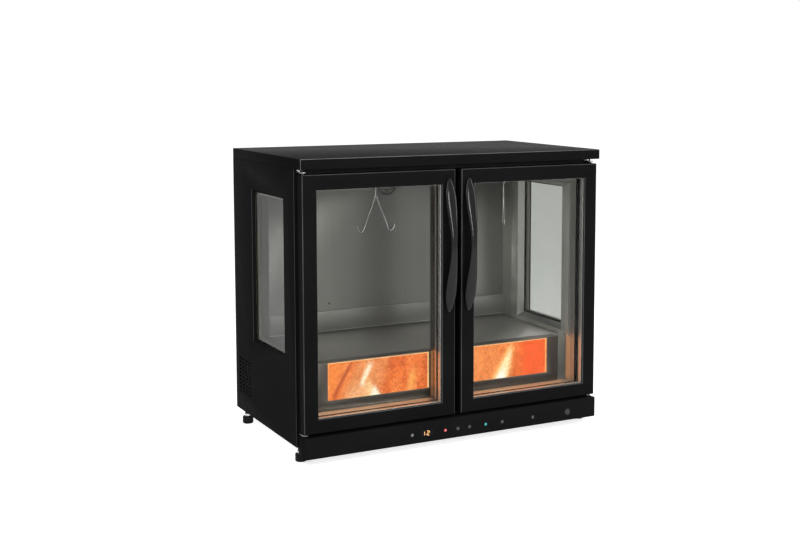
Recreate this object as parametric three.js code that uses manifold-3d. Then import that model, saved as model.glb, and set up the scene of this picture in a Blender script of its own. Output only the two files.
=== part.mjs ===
// Two-door glass-sided dry aging cabinet. Millimetres, +Z up, doors towards -Y.
// The origin lies on the floor, under the middle of the cabinet with its handles.
import * as THREE from "three";
import { mergeVertices } from "three/addons/utils/BufferGeometryUtils.js";
import Module from "manifold-3d";

const wasm = await Module();
wasm.setup();

// Overall sizes
const cabinetWidth = 900;
const cabinetDepth = 510;
const cabinetHeight = 786;
const footHeight = 41.5;

// Sheets, walls and clearances
const skin = 1.2;
const linerSheet = 1;
const seat = 0.3;
const overrun = 5;
const weldGap = 1e-4;
const roundSides = 20;
const holeSides = 14;
const sideWall = 48;
const roofWall = 43;
const backWall = 59.5;
const sillHeight = 70.5;

// Worktop and carcass
const worktopHeight = 27;
const worktopEdge = 1.6;
const carcassSetback = 46;
const jambReturn = 22;
const rearReturn = 18;
const frameDepth = 20;
const mullionWidth = 80;
const panUpstand = 14;

// Side windows, measured on the outer skin
const windowFront = 121.5;
const windowWidth = 238;
const windowSill = 261.5;
const windowTopGap = 78;
const revealDepth = 8;
const revealTaper = 6;
const paneThickness = 4;
const paneLap = 4;
const windowSpacerDepth = 12;
const windowSpacerWidth = 9;
const fillHoleRadius = 1.5;
const surroundSplayFront = 14;
const surroundSplayRear = 4;
const surroundSplayLow = 12;
const surroundSplayTop = 1;
const surroundBorder = 38;
const surroundBorderLow = 12;
const surroundProud = 2;
const surroundSheet = 1.5;

// Vents of the machine compartment
const sideVentRows = 10;
const sideVentColumns = 4;
const ventRowPitch = 10.4;
const sideVentLength = 18;
const ventSlotHeight = 4;
const sideVentColumnPitch = 26;
const sideVentFromRear = 28;
const sideVentFirstRow = 54;
const rearVentRows = 8;
const rearVentColumns = 4;
const rearVentLength = 80;
const rearVentColumnPitch = 105;
const rearVentFirstRow = 40;

// Interior step, air duct and salt box
const stepRise = 130;
const stepNose = 131.5;
const stepFoam = 28;
const plenumDepth = 32;
const skirtHeight = 57;
const skirtProud = 9;
const returnGap = 8;
const saltBoxDepth = 35;
const saltBoxEndGap = 23;
const saltEndPost = 38;
const saltMiddleGap = 83;
const saltWindowHeight = 100.5;
const saltWindowSill = 27;
const saltThickness = 20;
const saltLap = 6;
const saltLampDepth = 8;
const saltLampHeight = 14;
const ceilingLampWidth = 26;
const ceilingLampDepth = 9;
const ceilingLampEndGap = 60;
const ceilingLampSetback = 40;

// Cooling coil and its fan, behind the duct cover
const evaporatorWidth = 560;
const evaporatorHeight = 200;
const evaporatorDepth = 24;
const evaporatorRise = 96;
const evaporatorFins = 10;
const evaporatorPasses = 3;
const finThickness = 1.6;
const coilTubeRadius = 4;
const airFanRadius = 36;
const airFanDrop = 46;
const airFanDepth = 14;
const airMotorRadius = 15;
const airMotorDepth = 11;
const guardRingWidth = 3;
const guardSpokeWidth = 3;
const guardHubRadius = 9;
const guardRings = 3;
const fanTipGap = 2.5;

// Hanging rail and hooks
const railRadius = 6;
const railDrop = 26;
const railFromFront = 238;
const railEndGap = 32;
const railPostInset = 24;
const railPostRadius = 4.5;
const railFlangeRadius = 14;
const railFlangeThickness = 2.5;
const hookWireRadius = 2;
const hookEyeRadius = 9.5;
const hookNeck = 22;
const hookLegDrop = 84;
const hookSpread = 36;
const hookTipRadius = 11;
const hookEyeSteps = 6;
const hookWireSides = 6;
const hookLegSteps = 18;
const hookEyeStartDegrees = -30;
const hookEyeEndDegrees = 262;
// The tip's points, as shares of the tip radius sideways and down
const hookTipShares = [[1 / 3, 1], [1, 1.2], [5 / 3, 1 / 2], [11 / 6, -1 / 2]];
const leftHookPlace = -134;
const rightHookPlace = 276;
const rightHookTurnDegrees = 62;

// Machine compartment
const compressorRadius = 62;
const compressorHeight = 132;
const compressorFromCentre = 130;
const compressorFromRear = 95;
// Profile of the pot, as shares of its radius and of its height
const compressorShares = [
  [0, 0], [0.72, 0], [0.95, 0.08], [1, 0.2], [1, 0.46], [1.05, 0.46], [1.05, 0.52],
  [1, 0.52], [0.98, 0.72], [0.82, 0.9], [0.5, 0.98], [0, 1],
];
const compressorFootPlate = 3;
const compressorPlateLength = 170;
const compressorPlateWidth = 110;
const mountRadius = 9;
const mountHeight = 12;
const mountInset = 14;
const mountSides = 10;
const condenserDepth = 44;
const condenserWidth = 136;
const condenserHeight = 132;
const condenserFromSide = 24;
const condenserFromRear = 20;
const condenserFins = 10;
const condenserPasses = 3;
const condenserFoot = 2;
const shroudThickness = 2;
const shroudGap = 1;
const coolingFanRadius = 54;
const coolingFanDepth = 20;
const coolingMotorRadius = 22;
const coolingMotorDepth = 40;
const fanHubRadius = 17;
const fanBladeThickness = 2;
const fanBlades = 5;
const strutWidth = 8;
const trayWidth = 240;
const trayDepth = 120;
const trayHeight = 30;
const trayWall = 2;
const trayFromCentre = 90;
const inletWidth = 50;
const inletHeight = 28;
const inletDepth = 26;
const inletRise = 74;
const inletFromCentre = 330;
const inletPinLength = 14;
const inletPinWidth = 2.4;
const inletPinHeight = 6;
const inletPinPitch = 7.5;
const inletLip = 3;
const inletPlateWidth = 120;
const inletPlateHeight = 90;
const inletPlateLap = 8;

// Control strip below the doors
const stripInset = 5;
const stripRise = 19;
const stripHeight = 55.5;
const stripFlangeGap = 4;
const stripLowerReturn = 16;
const controlRise = 24;
const keyRadius = 5.5;
const keyProud = 0.9;
const keyTravel = 1;
const keyFlange = 1.6;
const keyFlangeThickness = 1.4;
const keyStemRadius = 2.2;
const keyHoleGap = 0.3;
// The dished front of a key, as shares of its radius and of its dish
const keyDishShares = [[0, 1], [0.5, 0.75], [0.85, 0], [1, 1]];
const powerRadius = 9;
const powerTravel = 1.5;
const displayWidth = 34;
const displayHeight = 15;
const displayThickness = 2.4;
const displayLip = 2.5;
const displayLipThickness = 1;
const indicatorRadius = 3.6;
const indicatorRise = 0.5;
const guideThickness = 2.5;
const guideGap = 1;
const boardThickness = 1.6;
const boardHeight = 26;
const boardSetback = 9;
const boardMargin = 30;
const standoffRadius = 3;
const lightKeyPlace = -141;
const displayPlace = -97;
const redIndicatorPlace = -41;
const downKeyPlace = -3;
const upKeyPlace = 33;
const greenIndicatorPlace = 84;
const setKeyPlace = 136;
const humidityKeyFromEnd = 210;
const powerFromEnd = 94;

// Doors
const doorSideGap = 5.8;
const doorCentreGap = 18.8;
const doorTopGap = 13;
const doorBottomGap = 8;
const doorRecess = 5;
const doorThickness = 36;
const doorStile = 40;
const doorBottomRail = 37;
const doorEdge = 1.5;
const doorFrontLip = 4;
const doorGlassLap = 9;
const doorSpacerDepth = 14;
const doorSpacerWidth = 9;
const gasketInset = 12;
const gasketWidth = 16;
const gasketLip = 2;
const pivotInset = 10;
const pinRadius = 4;
const pinGap = 0.35;
const pinReach = 13;
const plateThickness = 3;
const plateDoorGap = 3.4;
const plateHalfWidth = 8;
const plateLeg = 14;

// Door handles
const handleReach = 38;
const handleLength = 362;
const handleEndWidth = 34;
const handleMiddleWidth = 20;
const handleTipWidth = 9;
const handleThickness = 13;
const handleTipThickness = 6;
const handleCentreInset = 20.5;
const handleCentreDrop = 203;
const handleStations = 20;
const handleSides = 14;
const handleSwellShare = 0.3;
const handleBowShare = 1.6;
const handleCornerShare = 0.62;

// Feet
const footRadius = 15;
const footSoleRadius = 13;
const footStudRadius = 8;
const footPadHeight = 20;
const footFromSide = 19;
const footFromRear = 40;
const footFromCarcassFront = 17.5;

// Planes worked out from the sizes above
const handleProud = handleReach + seat - doorRecess;
const frontY = -(cabinetDepth + handleProud) / 2 + handleProud;
const rearY = frontY + cabinetDepth;
const halfWidth = cabinetWidth / 2;
const carcassFrontY = frontY + carcassSetback;
const frameBackY = carcassFrontY + frameDepth;
const worktopUnderZ = cabinetHeight - worktopHeight;
const linerX = halfWidth - sideWall;
const ceilingZ = worktopUnderZ - roofWall;
const floorZ = footHeight + sillHeight;
const stepZ = floorZ + stepRise;
const ductY = rearY - backWall;
const linerBackY = ductY + plenumDepth;
const stepNoseY = frontY + stepNose;
const saltBoxY = stepNoseY - seat - saltBoxDepth;
const saltBoxX = linerX - saltBoxEndGap;
const saltWindowX0 = saltMiddleGap / 2;
const saltWindowX1 = saltBoxX - saltEndPost;
const panTopZ = footHeight + skin;
const rearPanelY = rearY - skin - seat;
const windowY0 = frontY + windowFront;
const windowY1 = windowY0 + windowWidth;
const windowZ0 = windowSill;
const windowZ1 = worktopUnderZ - windowTopGap;
const doorFrontY = frontY + doorRecess;
const doorBackY = doorFrontY + doorThickness;
const doorX0 = doorCentreGap / 2;
const doorX1 = halfWidth - doorSideGap;
const stripTopZ = stripRise + stripHeight;
const doorZ0 = stripTopZ + doorBottomGap;
const doorZ1 = worktopUnderZ - doorTopGap;
const pivotX = doorX1 - pivotInset;
const pivotY = doorFrontY + doorThickness / 2;
const controlZ = stripRise + controlRise;
const humidityKeyPlace = halfWidth - stripInset - humidityKeyFromEnd;
const powerPlace = halfWidth - stripInset - powerFromEnd;
const railY = frontY + railFromFront;
const railZ = ceilingZ - railDrop;

// Materials
function paint(color, roughness, metalness = 0) {
  return new THREE.MeshStandardMaterial({ color, roughness, metalness });
}
const finish = {
  blackPaint: () => paint(0x17181b, 0.45, 0.2),
  stainless: () => paint(0x8c8d88, 0.3, 1),
  zinc: () => paint(0xd9dade, 0.2, 1),
  aluminium: () => paint(0xb4b4b0, 0.35, 1),
  foam: () => paint(0xd8cfa8, 0.9),
  greyPlastic: () => paint(0x8f8f8a, 0.5),
  blackPlastic: () => paint(0x131315, 0.35),
  rubber: () => paint(0x101010, 0.8),
  salt: () => paint(0xf27a35, 0.5),
  lamp: () => paint(0xffd9a0, 0.4),
  board: () => paint(0x1f5a35, 0.6),
  amberLens: () => paint(0x2a1b10, 0.15),
  redLens: () => paint(0xc03030, 0.2),
  keyCap: () => paint(0x3a3b3e, 0.4),
  glass() {
    const material = paint(0xdfe8e4, 0.05);
    material.transparent = true;
    material.opacity = 0.3;
    return material;
  },
};

// Solids: every shape is a closed geometry, and manifold-3d joins and cuts them
function toSolid(geometry) {
  const bare = geometry.clone();
  bare.deleteAttribute("normal");
  bare.deleteAttribute("uv");
  const merged = mergeVertices(bare, weldGap);
  const vertProperties = new Float32Array(merged.attributes.position.array);
  const triVerts = new Uint32Array(merged.index.array);
  return new wasm.Manifold(new wasm.Mesh({ numProp: 3, vertProperties, triVerts }));
}

function toGeometry(solid) {
  const { vertProperties, triVerts } = solid.getMesh();
  const geometry = new THREE.BufferGeometry();
  geometry.setAttribute("position", new THREE.BufferAttribute(new Float32Array(vertProperties), 3));
  geometry.setIndex(new THREE.BufferAttribute(new Uint32Array(triVerts), 1));
  const flat = geometry.toNonIndexed();
  flat.computeVertexNormals();
  return flat;
}

function join(...geometries) {
  return toGeometry(geometries.map(toSolid).reduce((whole, next) => whole.add(next)));
}

function cut(geometry, ...tools) {
  if (tools.length === 0) return geometry;
  const tool = tools.map(toSolid).reduce((whole, next) => whole.add(next));
  return toGeometry(toSolid(geometry).subtract(tool));
}

function moved(geometry, x, y, z) {
  return geometry.clone().translate(x, y, z);
}

// The same shape on the other side of the X = 0 plane, with its faces turned out again
function mirrorX(geometry) {
  const flat = geometry.index ? geometry.toNonIndexed() : geometry.clone();
  const mirror = flat.scale(-1, 1, 1);
  const position = mirror.getAttribute("position");
  const corner = new THREE.Vector3();
  const other = new THREE.Vector3();
  for (let i = 0; i < position.count; i += 3) {
    corner.fromBufferAttribute(position, i + 1);
    other.fromBufferAttribute(position, i + 2);
    position.setXYZ(i + 1, other.x, other.y, other.z);
    position.setXYZ(i + 2, corner.x, corner.y, corner.z);
  }
  mirror.computeVertexNormals();
  return mirror;
}

// A block between two corners
function block(x0, x1, y0, y1, z0, z1) {
  const geometry = new THREE.BoxGeometry(x1 - x0, y1 - y0, z1 - z0);
  return geometry.translate((x0 + x1) / 2, (y0 + y1) / 2, (z0 + z1) / 2);
}

// A tapered block between two upright rectangles that face along X: [y0, y1, z0, z1] at xa and xb
function taperedBlock(xa, rectA, xb, rectB) {
  const ring = (x, [y0, y1, z0, z1]) => [x, y0, z0, x, y1, z0, x, y1, z1, x, y0, z1];
  const low = xa < xb ? ring(xa, rectA) : ring(xb, rectB);
  const high = xa < xb ? ring(xb, rectB) : ring(xa, rectA);
  const geometry = new THREE.BufferGeometry();
  geometry.setAttribute("position", new THREE.Float32BufferAttribute([...low, ...high], 3));
  const faces = [0, 2, 1, 0, 3, 2, 4, 5, 6, 4, 6, 7];
  for (let i = 0; i < 4; i += 1) {
    const j = (i + 1) % 4;
    faces.push(i, j, j + 4, i, j + 4, i + 4);
  }
  geometry.setIndex(faces);
  return geometry;
}

// A rectangle [u0, u1, v0, v1] grown by a margin on every side
function grown([u0, u1, v0, v1], margin) {
  return [u0 - margin, u1 + margin, v0 - margin, v1 + margin];
}

function rectangleShape([u0, u1, v0, v1]) {
  const shape = new THREE.Shape();
  shape.moveTo(u0, v0);
  shape.lineTo(u1, v0);
  shape.lineTo(u1, v1);
  shape.lineTo(u0, v1);
  shape.closePath();
  return shape;
}

// The outline of a bent sheet: its middle line with mitred corners, thickened both ways
function sheetShape(path, thickness) {
  const points = path.map(([u, v]) => new THREE.Vector2(u, v));
  const sides = [1, -1].map((sign) =>
    points.map((point, i) => {
      const before = points[Math.max(i - 1, 0)];
      const after = points[Math.min(i + 1, points.length - 1)];
      const first = (i === 0 ? after.clone().sub(point) : point.clone().sub(before)).normalize();
      const second = (i === points.length - 1 ? first : after.clone().sub(point)).clone().normalize();
      const normal = new THREE.Vector2(-first.y - second.y, first.x + second.x).normalize();
      const reach = (sign * thickness) / 2 / normal.dot(new THREE.Vector2(-first.y, first.x));
      return normal.multiplyScalar(reach).add(point);
    }),
  );
  return new THREE.Shape([...sides[0], ...sides[1].reverse()]);
}

const acrossX = new THREE.Matrix4().makeBasis(
  new THREE.Vector3(0, 1, 0),
  new THREE.Vector3(0, 0, 1),
  new THREE.Vector3(1, 0, 0),
);
const acrossY = new THREE.Matrix4().makeBasis(
  new THREE.Vector3(1, 0, 0),
  new THREE.Vector3(0, 0, 1),
  new THREE.Vector3(0, -1, 0),
);

// Prisms: a profile in YZ run along X, in XZ run along Y, or in XY run along Z
function prismX(shape, x0, x1, curveSegments = 12) {
  const options = { depth: x1 - x0, bevelEnabled: false, curveSegments };
  return new THREE.ExtrudeGeometry(shape, options).applyMatrix4(acrossX).translate(x0, 0, 0);
}

function prismY(shape, y0, y1, curveSegments = 12) {
  const options = { depth: y1 - y0, bevelEnabled: false, curveSegments };
  return new THREE.ExtrudeGeometry(shape, options).applyMatrix4(acrossY).translate(0, y1, 0);
}

function prismZ(shape, z0, z1, curveSegments = 12) {
  const options = { depth: z1 - z0, bevelEnabled: false, curveSegments };
  return new THREE.ExtrudeGeometry(shape, options).translate(0, 0, z0);
}

// A frame or plate in XZ with chamfered rims, run along Y
function chamferedPrismY(shape, y0, y1, chamfer) {
  const options = {
    depth: y1 - y0 - 2 * chamfer,
    bevelThickness: chamfer,
    bevelSize: chamfer,
    bevelOffset: -chamfer,
    bevelSegments: 1,
  };
  const geometry = new THREE.ExtrudeGeometry(shape, options);
  return geometry.applyMatrix4(acrossY).translate(0, y1 - chamfer, 0);
}

function ringShape(outer, inner) {
  const shape = rectangleShape(outer);
  shape.holes.push(rectangleShape(inner));
  return shape;
}

// Cylinders along each axis, between two planes
function rodZ(x, y, z0, z1, radius, sides = roundSides) {
  const geometry = new THREE.CylinderGeometry(radius, radius, z1 - z0, sides);
  return geometry.rotateX(Math.PI / 2).translate(x, y, (z0 + z1) / 2);
}

function rodY(x, z, y0, y1, radius, sides = roundSides) {
  return new THREE.CylinderGeometry(radius, radius, y1 - y0, sides).translate(x, (y0 + y1) / 2, z);
}

function rodX(y, z, x0, x1, radius, sides = roundSides) {
  const geometry = new THREE.CylinderGeometry(radius, radius, x1 - x0, sides);
  return geometry.rotateZ(Math.PI / 2).translate((x0 + x1) / 2, y, z);
}

// A turned piece about an axis along Z, from [radius, height] points that start and end on it
function turned(points, sides = roundSides) {
  const geometry = new THREE.LatheGeometry(
    points.map(([radius, height]) => new THREE.Vector2(radius, height)),
    sides,
  );
  return geometry.rotateX(Math.PI / 2);
}

// A bent wire of round section along a curve
function wire(curve, radius, steps, sides = 8) {
  const section = new THREE.Shape();
  section.absarc(0, 0, radius, 0, 2 * Math.PI);
  return new THREE.ExtrudeGeometry(section, {
    steps,
    extrudePath: curve,
    bevelEnabled: false,
    curveSegments: sides / 2,
  });
}

// The scene graph
const cabinet = new THREE.Group();

function place(parent, name, geometry, material) {
  const mesh = new THREE.Mesh(geometry, material);
  mesh.name = name;
  parent.add(mesh);
  return mesh;
}

function placeBothSides(name, geometry, material) {
  place(cabinet, `left_${name}`, mirrorX(geometry), material());
  place(cabinet, `right_${name}`, geometry, material());
}

// Worktop: a folded steel tray, packed solid where it overhangs the doors
function worktop() {
  const outline = rectangleShape([-halfWidth, halfWidth, frontY, rearY]);
  const options = {
    depth: worktopHeight - worktopEdge,
    bevelThickness: worktopEdge,
    bevelSize: worktopEdge,
    bevelOffset: -worktopEdge,
    bevelSegments: 2,
  };
  const slab = new THREE.ExtrudeGeometry(outline, options).translate(0, 0, worktopUnderZ);
  const below = block(
    -halfWidth - overrun, halfWidth + overrun, frontY - overrun, rearY + overrun,
    worktopUnderZ - overrun, worktopUnderZ,
  );
  const inside = block(
    -halfWidth + skin, halfWidth - skin, carcassFrontY, rearY - skin,
    worktopUnderZ - overrun, cabinetHeight - skin,
  );
  return cut(slab, below, inside);
}

// Rectangles of the side window, as [y0, y1, z0, z1]
const windowRect = [windowY0, windowY1, windowZ0, windowZ1];
const sightRect = grown(windowRect, -revealTaper);
const paneRect = grown(sightRect, paneLap);
const splayRect = [
  sightRect[0] - surroundSplayFront,
  sightRect[1] + surroundSplayRear,
  sightRect[2] - surroundSplayLow,
  sightRect[3] + surroundSplayTop,
];
const borderRect = [
  splayRect[0] - surroundBorder,
  splayRect[1] + surroundBorder,
  splayRect[2] - surroundBorderLow,
  splayRect[3] + surroundBorderLow,
];

// Planes of the side glazing, counted inwards from the outer skin of the right side
const revealX = halfWidth - revealDepth;
const outerPaneX = revealX - seat - paneThickness;
const innerPaneX = outerPaneX - windowSpacerDepth - paneThickness;
const surroundX = innerPaneX - seat;
const borderX = linerX - seat - surroundProud;

function slot(y, z, length) {
  return block(halfWidth - overrun, halfWidth + overrun, y, y + length, z, z + ventSlotHeight);
}

function sideVents() {
  const slots = [];
  for (let row = 0; row < sideVentRows; row += 1) {
    for (let column = 0; column < sideVentColumns; column += 1) {
      const y = rearY - sideVentFromRear - sideVentLength - column * sideVentColumnPitch;
      slots.push(slot(y, footHeight + sideVentFirstRow + row * ventRowPitch, sideVentLength));
    }
  }
  return slots;
}

// Right side panel: skin, front and rear returns, tapered window reveal and vents
function sidePanel() {
  const x = halfWidth - skin / 2;
  const folded = sheetShape(
    [
      [halfWidth - jambReturn, carcassFrontY + skin / 2],
      [x, carcassFrontY + skin / 2],
      [x, rearY - skin / 2],
      [halfWidth - rearReturn, rearY - skin / 2],
    ],
    skin,
  );
  const sheet = prismZ(folded, footHeight, worktopUnderZ - seat);
  const opening = taperedBlock(halfWidth + overrun, windowRect, halfWidth - overrun, windowRect);
  const funnelOut = taperedBlock(halfWidth, grown(windowRect, skin), revealX, grown(sightRect, skin));
  const funnelIn = taperedBlock(halfWidth + seat, windowRect, revealX - seat, sightRect);
  const pierced = cut(sheet, opening, ...sideVents());
  return join(pierced, cut(funnelOut, funnelIn));
}

// Window glass: two panes sealed on a hollow spacer bar, with the bar's filling hole left open
function windowGlass() {
  const outside = taperedBlock(innerPaneX, paneRect, outerPaneX + paneThickness, paneRect);
  const hollow = grown(paneRect, -windowSpacerWidth);
  const cavity = taperedBlock(innerPaneX + paneThickness, hollow, outerPaneX, hollow);
  const middleX = (innerPaneX + paneThickness + outerPaneX) / 2;
  const hole = rodZ(
    middleX, paneRect[1] - 2 * windowSpacerWidth, hollow[3] - seat, paneRect[3] + overrun,
    fillHoleRadius, 8,
  );
  return cut(outside, cavity, hole);
}

// Window surround: a splayed stainless funnel that ends in a raised border on the liner
function windowSurround() {
  const clear = grown(splayRect, 0);
  const border = cut(
    taperedBlock(borderX, borderRect, borderX + surroundProud, borderRect),
    taperedBlock(borderX - overrun, clear, linerX + overrun, clear),
  );
  const outside = taperedBlock(
    borderX, grown(splayRect, surroundSheet), surroundX, grown(sightRect, surroundSheet),
  );
  const inside = taperedBlock(borderX - seat, splayRect, surroundX + seat, sightRect);
  return join(border, cut(outside, inside));
}

// The room that the side glazing needs in the foam
function glazingClearance() {
  const box = grown(paneRect, 2 * skin);
  const margin = surroundSheet + 2 * seat;
  const glass = taperedBlock(surroundX, box, halfWidth + overrun, box);
  const funnel = taperedBlock(
    borderX, grown(splayRect, margin), surroundX + seat, grown(sightRect, margin + paneLap),
  );
  return join(glass, funnel);
}

// Right liner side: one sheet, stepped along its foot like the floor it meets
function linerSide() {
  const noseY = stepNoseY - seat;
  const shape = new THREE.Shape([
    new THREE.Vector2(frameBackY + seat, floorZ + seat),
    new THREE.Vector2(noseY, floorZ + seat),
    new THREE.Vector2(noseY, stepZ + seat),
    new THREE.Vector2(linerBackY, stepZ + seat),
    new THREE.Vector2(linerBackY, ceilingZ - seat),
    new THREE.Vector2(frameBackY + seat, ceilingZ - seat),
  ]);
  const sheet = prismX(shape, linerX, linerX + linerSheet);
  const margin = grown(splayRect, surroundSheet + seat);
  return cut(sheet, taperedBlock(linerX - overrun, margin, linerX + overrun, margin));
}

// The stepped liner floor: low in front of the salt box, high over the machine compartment
function linerStep() {
  const half = linerSheet / 2;
  const path = [
    [frameBackY + seat, floorZ - half],
    [stepNoseY + half, floorZ - half],
    [stepNoseY + half, stepZ - half],
    [linerBackY - seat, stepZ - half],
  ];
  return prismX(sheetShape(path, linerSheet), -linerX + seat, linerX - seat);
}

// Foamed insulation: one body that fills the walls between skins and liner
function insulation() {
  const x = halfWidth - skin - seat;
  const low = floorZ - linerSheet - seat - stepFoam;
  const stepLow = stepZ - linerSheet - seat - stepFoam;
  const back = rearPanelY - skin - seat;
  const shell = block(
    -x, x, frameBackY + seat, back, panTopZ + seat, cabinetHeight - skin - seat,
  );
  const cavity = block(
    -linerX - linerSheet - seat, linerX + linerSheet + seat, frameBackY - overrun,
    linerBackY + linerSheet + seat, stepZ, ceilingZ + linerSheet + seat,
  );
  const front = block(
    -linerX - linerSheet - seat, linerX + linerSheet + seat, frameBackY - overrun,
    stepNoseY + linerSheet + seat, floorZ - linerSheet - seat, stepZ + overrun,
  );
  const underStep = block(
    -linerX - linerSheet - seat, linerX + linerSheet + seat, stepNoseY - overrun,
    linerBackY + linerSheet + seat, stepZ - linerSheet - seat, stepZ + overrun,
  );
  const noseBack = stepNoseY + linerSheet + stepFoam;
  const machineRoom = block(-x - overrun, x + overrun, noseBack, back + overrun, 0, stepLow);
  const underFloor = block(-x - overrun, x + overrun, frameBackY - overrun, noseBack, 0, low);
  const glazing = glazingClearance();
  return cut(shell, cavity, front, underStep, machineRoom, underFloor, glazing, mirrorX(glazing));
}

// Front frame: the thermal break that carries the liner edges, with the centre mullion
function frontFrame() {
  const x = halfWidth - jambReturn - 2 * seat;
  const plate = block(-x, x, carcassFrontY, frameBackY, panTopZ + seat, worktopUnderZ - seat);
  const opening = (x0, x1) => block(
    x0, x1, carcassFrontY - overrun, frameBackY + overrun, floorZ, ceilingZ,
  );
  return cut(plate, opening(-linerX, -mullionWidth / 2), opening(mullionWidth / 2, linerX));
}

function basePan() {
  const x = halfWidth - skin - seat;
  const y0 = carcassFrontY + skin + seat;
  const y1 = rearPanelY - skin - seat;
  const tray = block(-x, x, y0, y1, footHeight, footHeight + panUpstand);
  const inside = block(
    -x + skin, x - skin, frameBackY + skin, y1 - skin, panTopZ, footHeight + panUpstand + overrun,
  );
  const frontRoom = block(
    -x - overrun, x + overrun, y0 - overrun, frameBackY + skin + seat,
    panTopZ, footHeight + panUpstand + overrun,
  );
  return cut(tray, inside, frontRoom);
}

// Rear panel with the outlet louvres of the machine compartment and the inlet cut-out
const inletRect = [
  inletFromCentre - inletWidth / 2, inletFromCentre + inletWidth / 2,
  footHeight + inletRise, footHeight + inletRise + inletHeight,
];
const inletMiddleZ = footHeight + inletRise + inletHeight / 2;
const inletPlateRect = [
  inletFromCentre - inletPlateWidth / 2, inletFromCentre + inletPlateWidth / 2,
  inletMiddleZ - inletPlateHeight / 2, inletMiddleZ + inletPlateHeight / 2,
];

function rearPanel() {
  const x = halfWidth - skin - seat;
  const sheet = block(-x, x, rearPanelY - skin, rearPanelY, footHeight, worktopUnderZ - seat);
  const tools = [];
  for (let row = 0; row < rearVentRows; row += 1) {
    for (let column = 0; column < rearVentColumns; column += 1) {
      const middle = (column - (rearVentColumns - 1) / 2) * rearVentColumnPitch;
      const z = footHeight + rearVentFirstRow + row * ventRowPitch;
      tools.push(block(
        middle - rearVentLength / 2, middle + rearVentLength / 2,
        rearPanelY - overrun, rearPanelY + overrun, z, z + ventSlotHeight,
      ));
    }
  }
  const inlet = rectangleShape(grown(inletPlateRect, -inletPlateLap));
  return cut(sheet, ...tools, prismY(inlet, rearPanelY - overrun, rearPanelY + overrun));
}

function powerInlet() {
  const body = prismY(rectangleShape(inletRect), rearPanelY - inletDepth, rearY);
  const plate = prismY(rectangleShape(inletPlateRect), rearPanelY + seat, rearY);
  const mouth = grown(inletRect, -inletLip);
  const hollow = prismY(
    rectangleShape(mouth), rearPanelY - inletDepth + inletLip, rearY + overrun,
  );
  const pins = [-1, 0, 1].map((place) => {
    const x = inletFromCentre + place * inletPinPitch;
    const z = inletMiddleZ + (place === 0 ? inletPinHeight / 2 : -inletPinHeight / 2);
    return block(
      x - inletPinWidth / 2, x + inletPinWidth / 2,
      rearPanelY - inletDepth + inletLip - seat, rearPanelY - inletDepth + inletPinLength,
      z - inletPinHeight / 2, z + inletPinHeight / 2,
    );
  });
  return join(cut(join(body, plate), hollow), ...pins);
}

// Foot: a turned pad on a stud
function foot() {
  const profile = [
    [0, 0],
    [footSoleRadius, 0],
    [footRadius, footRadius - footSoleRadius],
    [footRadius, footPadHeight],
    [footStudRadius, footPadHeight],
    [footStudRadius, footHeight - seat],
    [0, footHeight - seat],
  ];
  return turned(profile);
}

// Annular slots of a fan guard in the XZ plane, about the origin
function guardCuts(y0, y1) {
  const pitch = (airFanRadius - guardHubRadius) / guardRings;
  const cuts = [];
  for (let ring = 0; ring < guardRings; ring += 1) {
    const inner = guardHubRadius + ring * pitch;
    const outer = inner + pitch - guardRingWidth;
    const spread = (guardSpokeWidth / 2 / inner);
    for (let quarter = 0; quarter < 4; quarter += 1) {
      const from = (quarter * Math.PI) / 2 + spread;
      const to = ((quarter + 1) * Math.PI) / 2 - spread;
      const shape = new THREE.Shape();
      shape.absarc(0, 0, outer, from, to, false);
      shape.absarc(0, 0, inner, to, from, true);
      shape.closePath();
      cuts.push(prismY(shape, y0, y1, 3));
    }
  }
  return cuts;
}

const airFanZ = ceilingZ - airFanDrop;

// Duct cover: the stainless false wall in front of the cooling coil. Its foot is folded forward
// as a skirt over the return air gap, and the fan guard is pierced in its top.
function ductCover() {
  const half = linerSheet / 2;
  const skirtTop = stepZ + returnGap + skirtHeight;
  const path = [
    [ductY + half, ceilingZ - seat],
    [ductY + half, skirtTop - half],
    [ductY - skirtProud + half, skirtTop - half],
    [ductY - skirtProud + half, stepZ + returnGap],
  ];
  const sheet = prismX(sheetShape(path, linerSheet), -linerX + seat, linerX - seat);
  const guard = guardCuts(ductY - overrun, ductY + overrun);
  return cut(sheet, ...guard.map((piece) => moved(piece, 0, 0, airFanZ)));
}

// Salt box: a thin-walled case with one window for each slab
function saltFrame() {
  const back = stepNoseY - seat;
  const box = block(-saltBoxX, saltBoxX, saltBoxY, back, floorZ + seat, stepZ);
  const hollow = block(
    -saltBoxX + skin, saltBoxX - skin, saltBoxY + skin, back + overrun, floorZ + seat + skin, stepZ - skin,
  );
  const windows = [-1, 1].map((side) => {
    const inner = side * saltWindowX0;
    const outer = side * saltWindowX1;
    return block(
      Math.min(inner, outer), Math.max(inner, outer), saltBoxY - overrun, saltBoxY + overrun,
      floorZ + saltWindowSill, floorZ + saltWindowSill + saltWindowHeight,
    );
  });
  return cut(box, hollow, ...windows);
}

function saltSlab(side) {
  const middle = (side * (saltWindowX0 + saltWindowX1)) / 2;
  const half = (saltWindowX1 - saltWindowX0) / 2 + saltLap;
  const front = saltBoxY + skin + seat;
  return block(
    middle - half, middle + half, front, front + saltThickness,
    floorZ + 2 * seat + skin, stepZ - skin - seat,
  );
}

function saltLamp() {
  const half = saltBoxX - skin - seat;
  const back = stepNoseY - 2 * seat;
  const low = floorZ + 2 * seat + skin;
  return block(-half, half, back - saltLampDepth, back, low, low + saltLampHeight);
}

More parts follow.
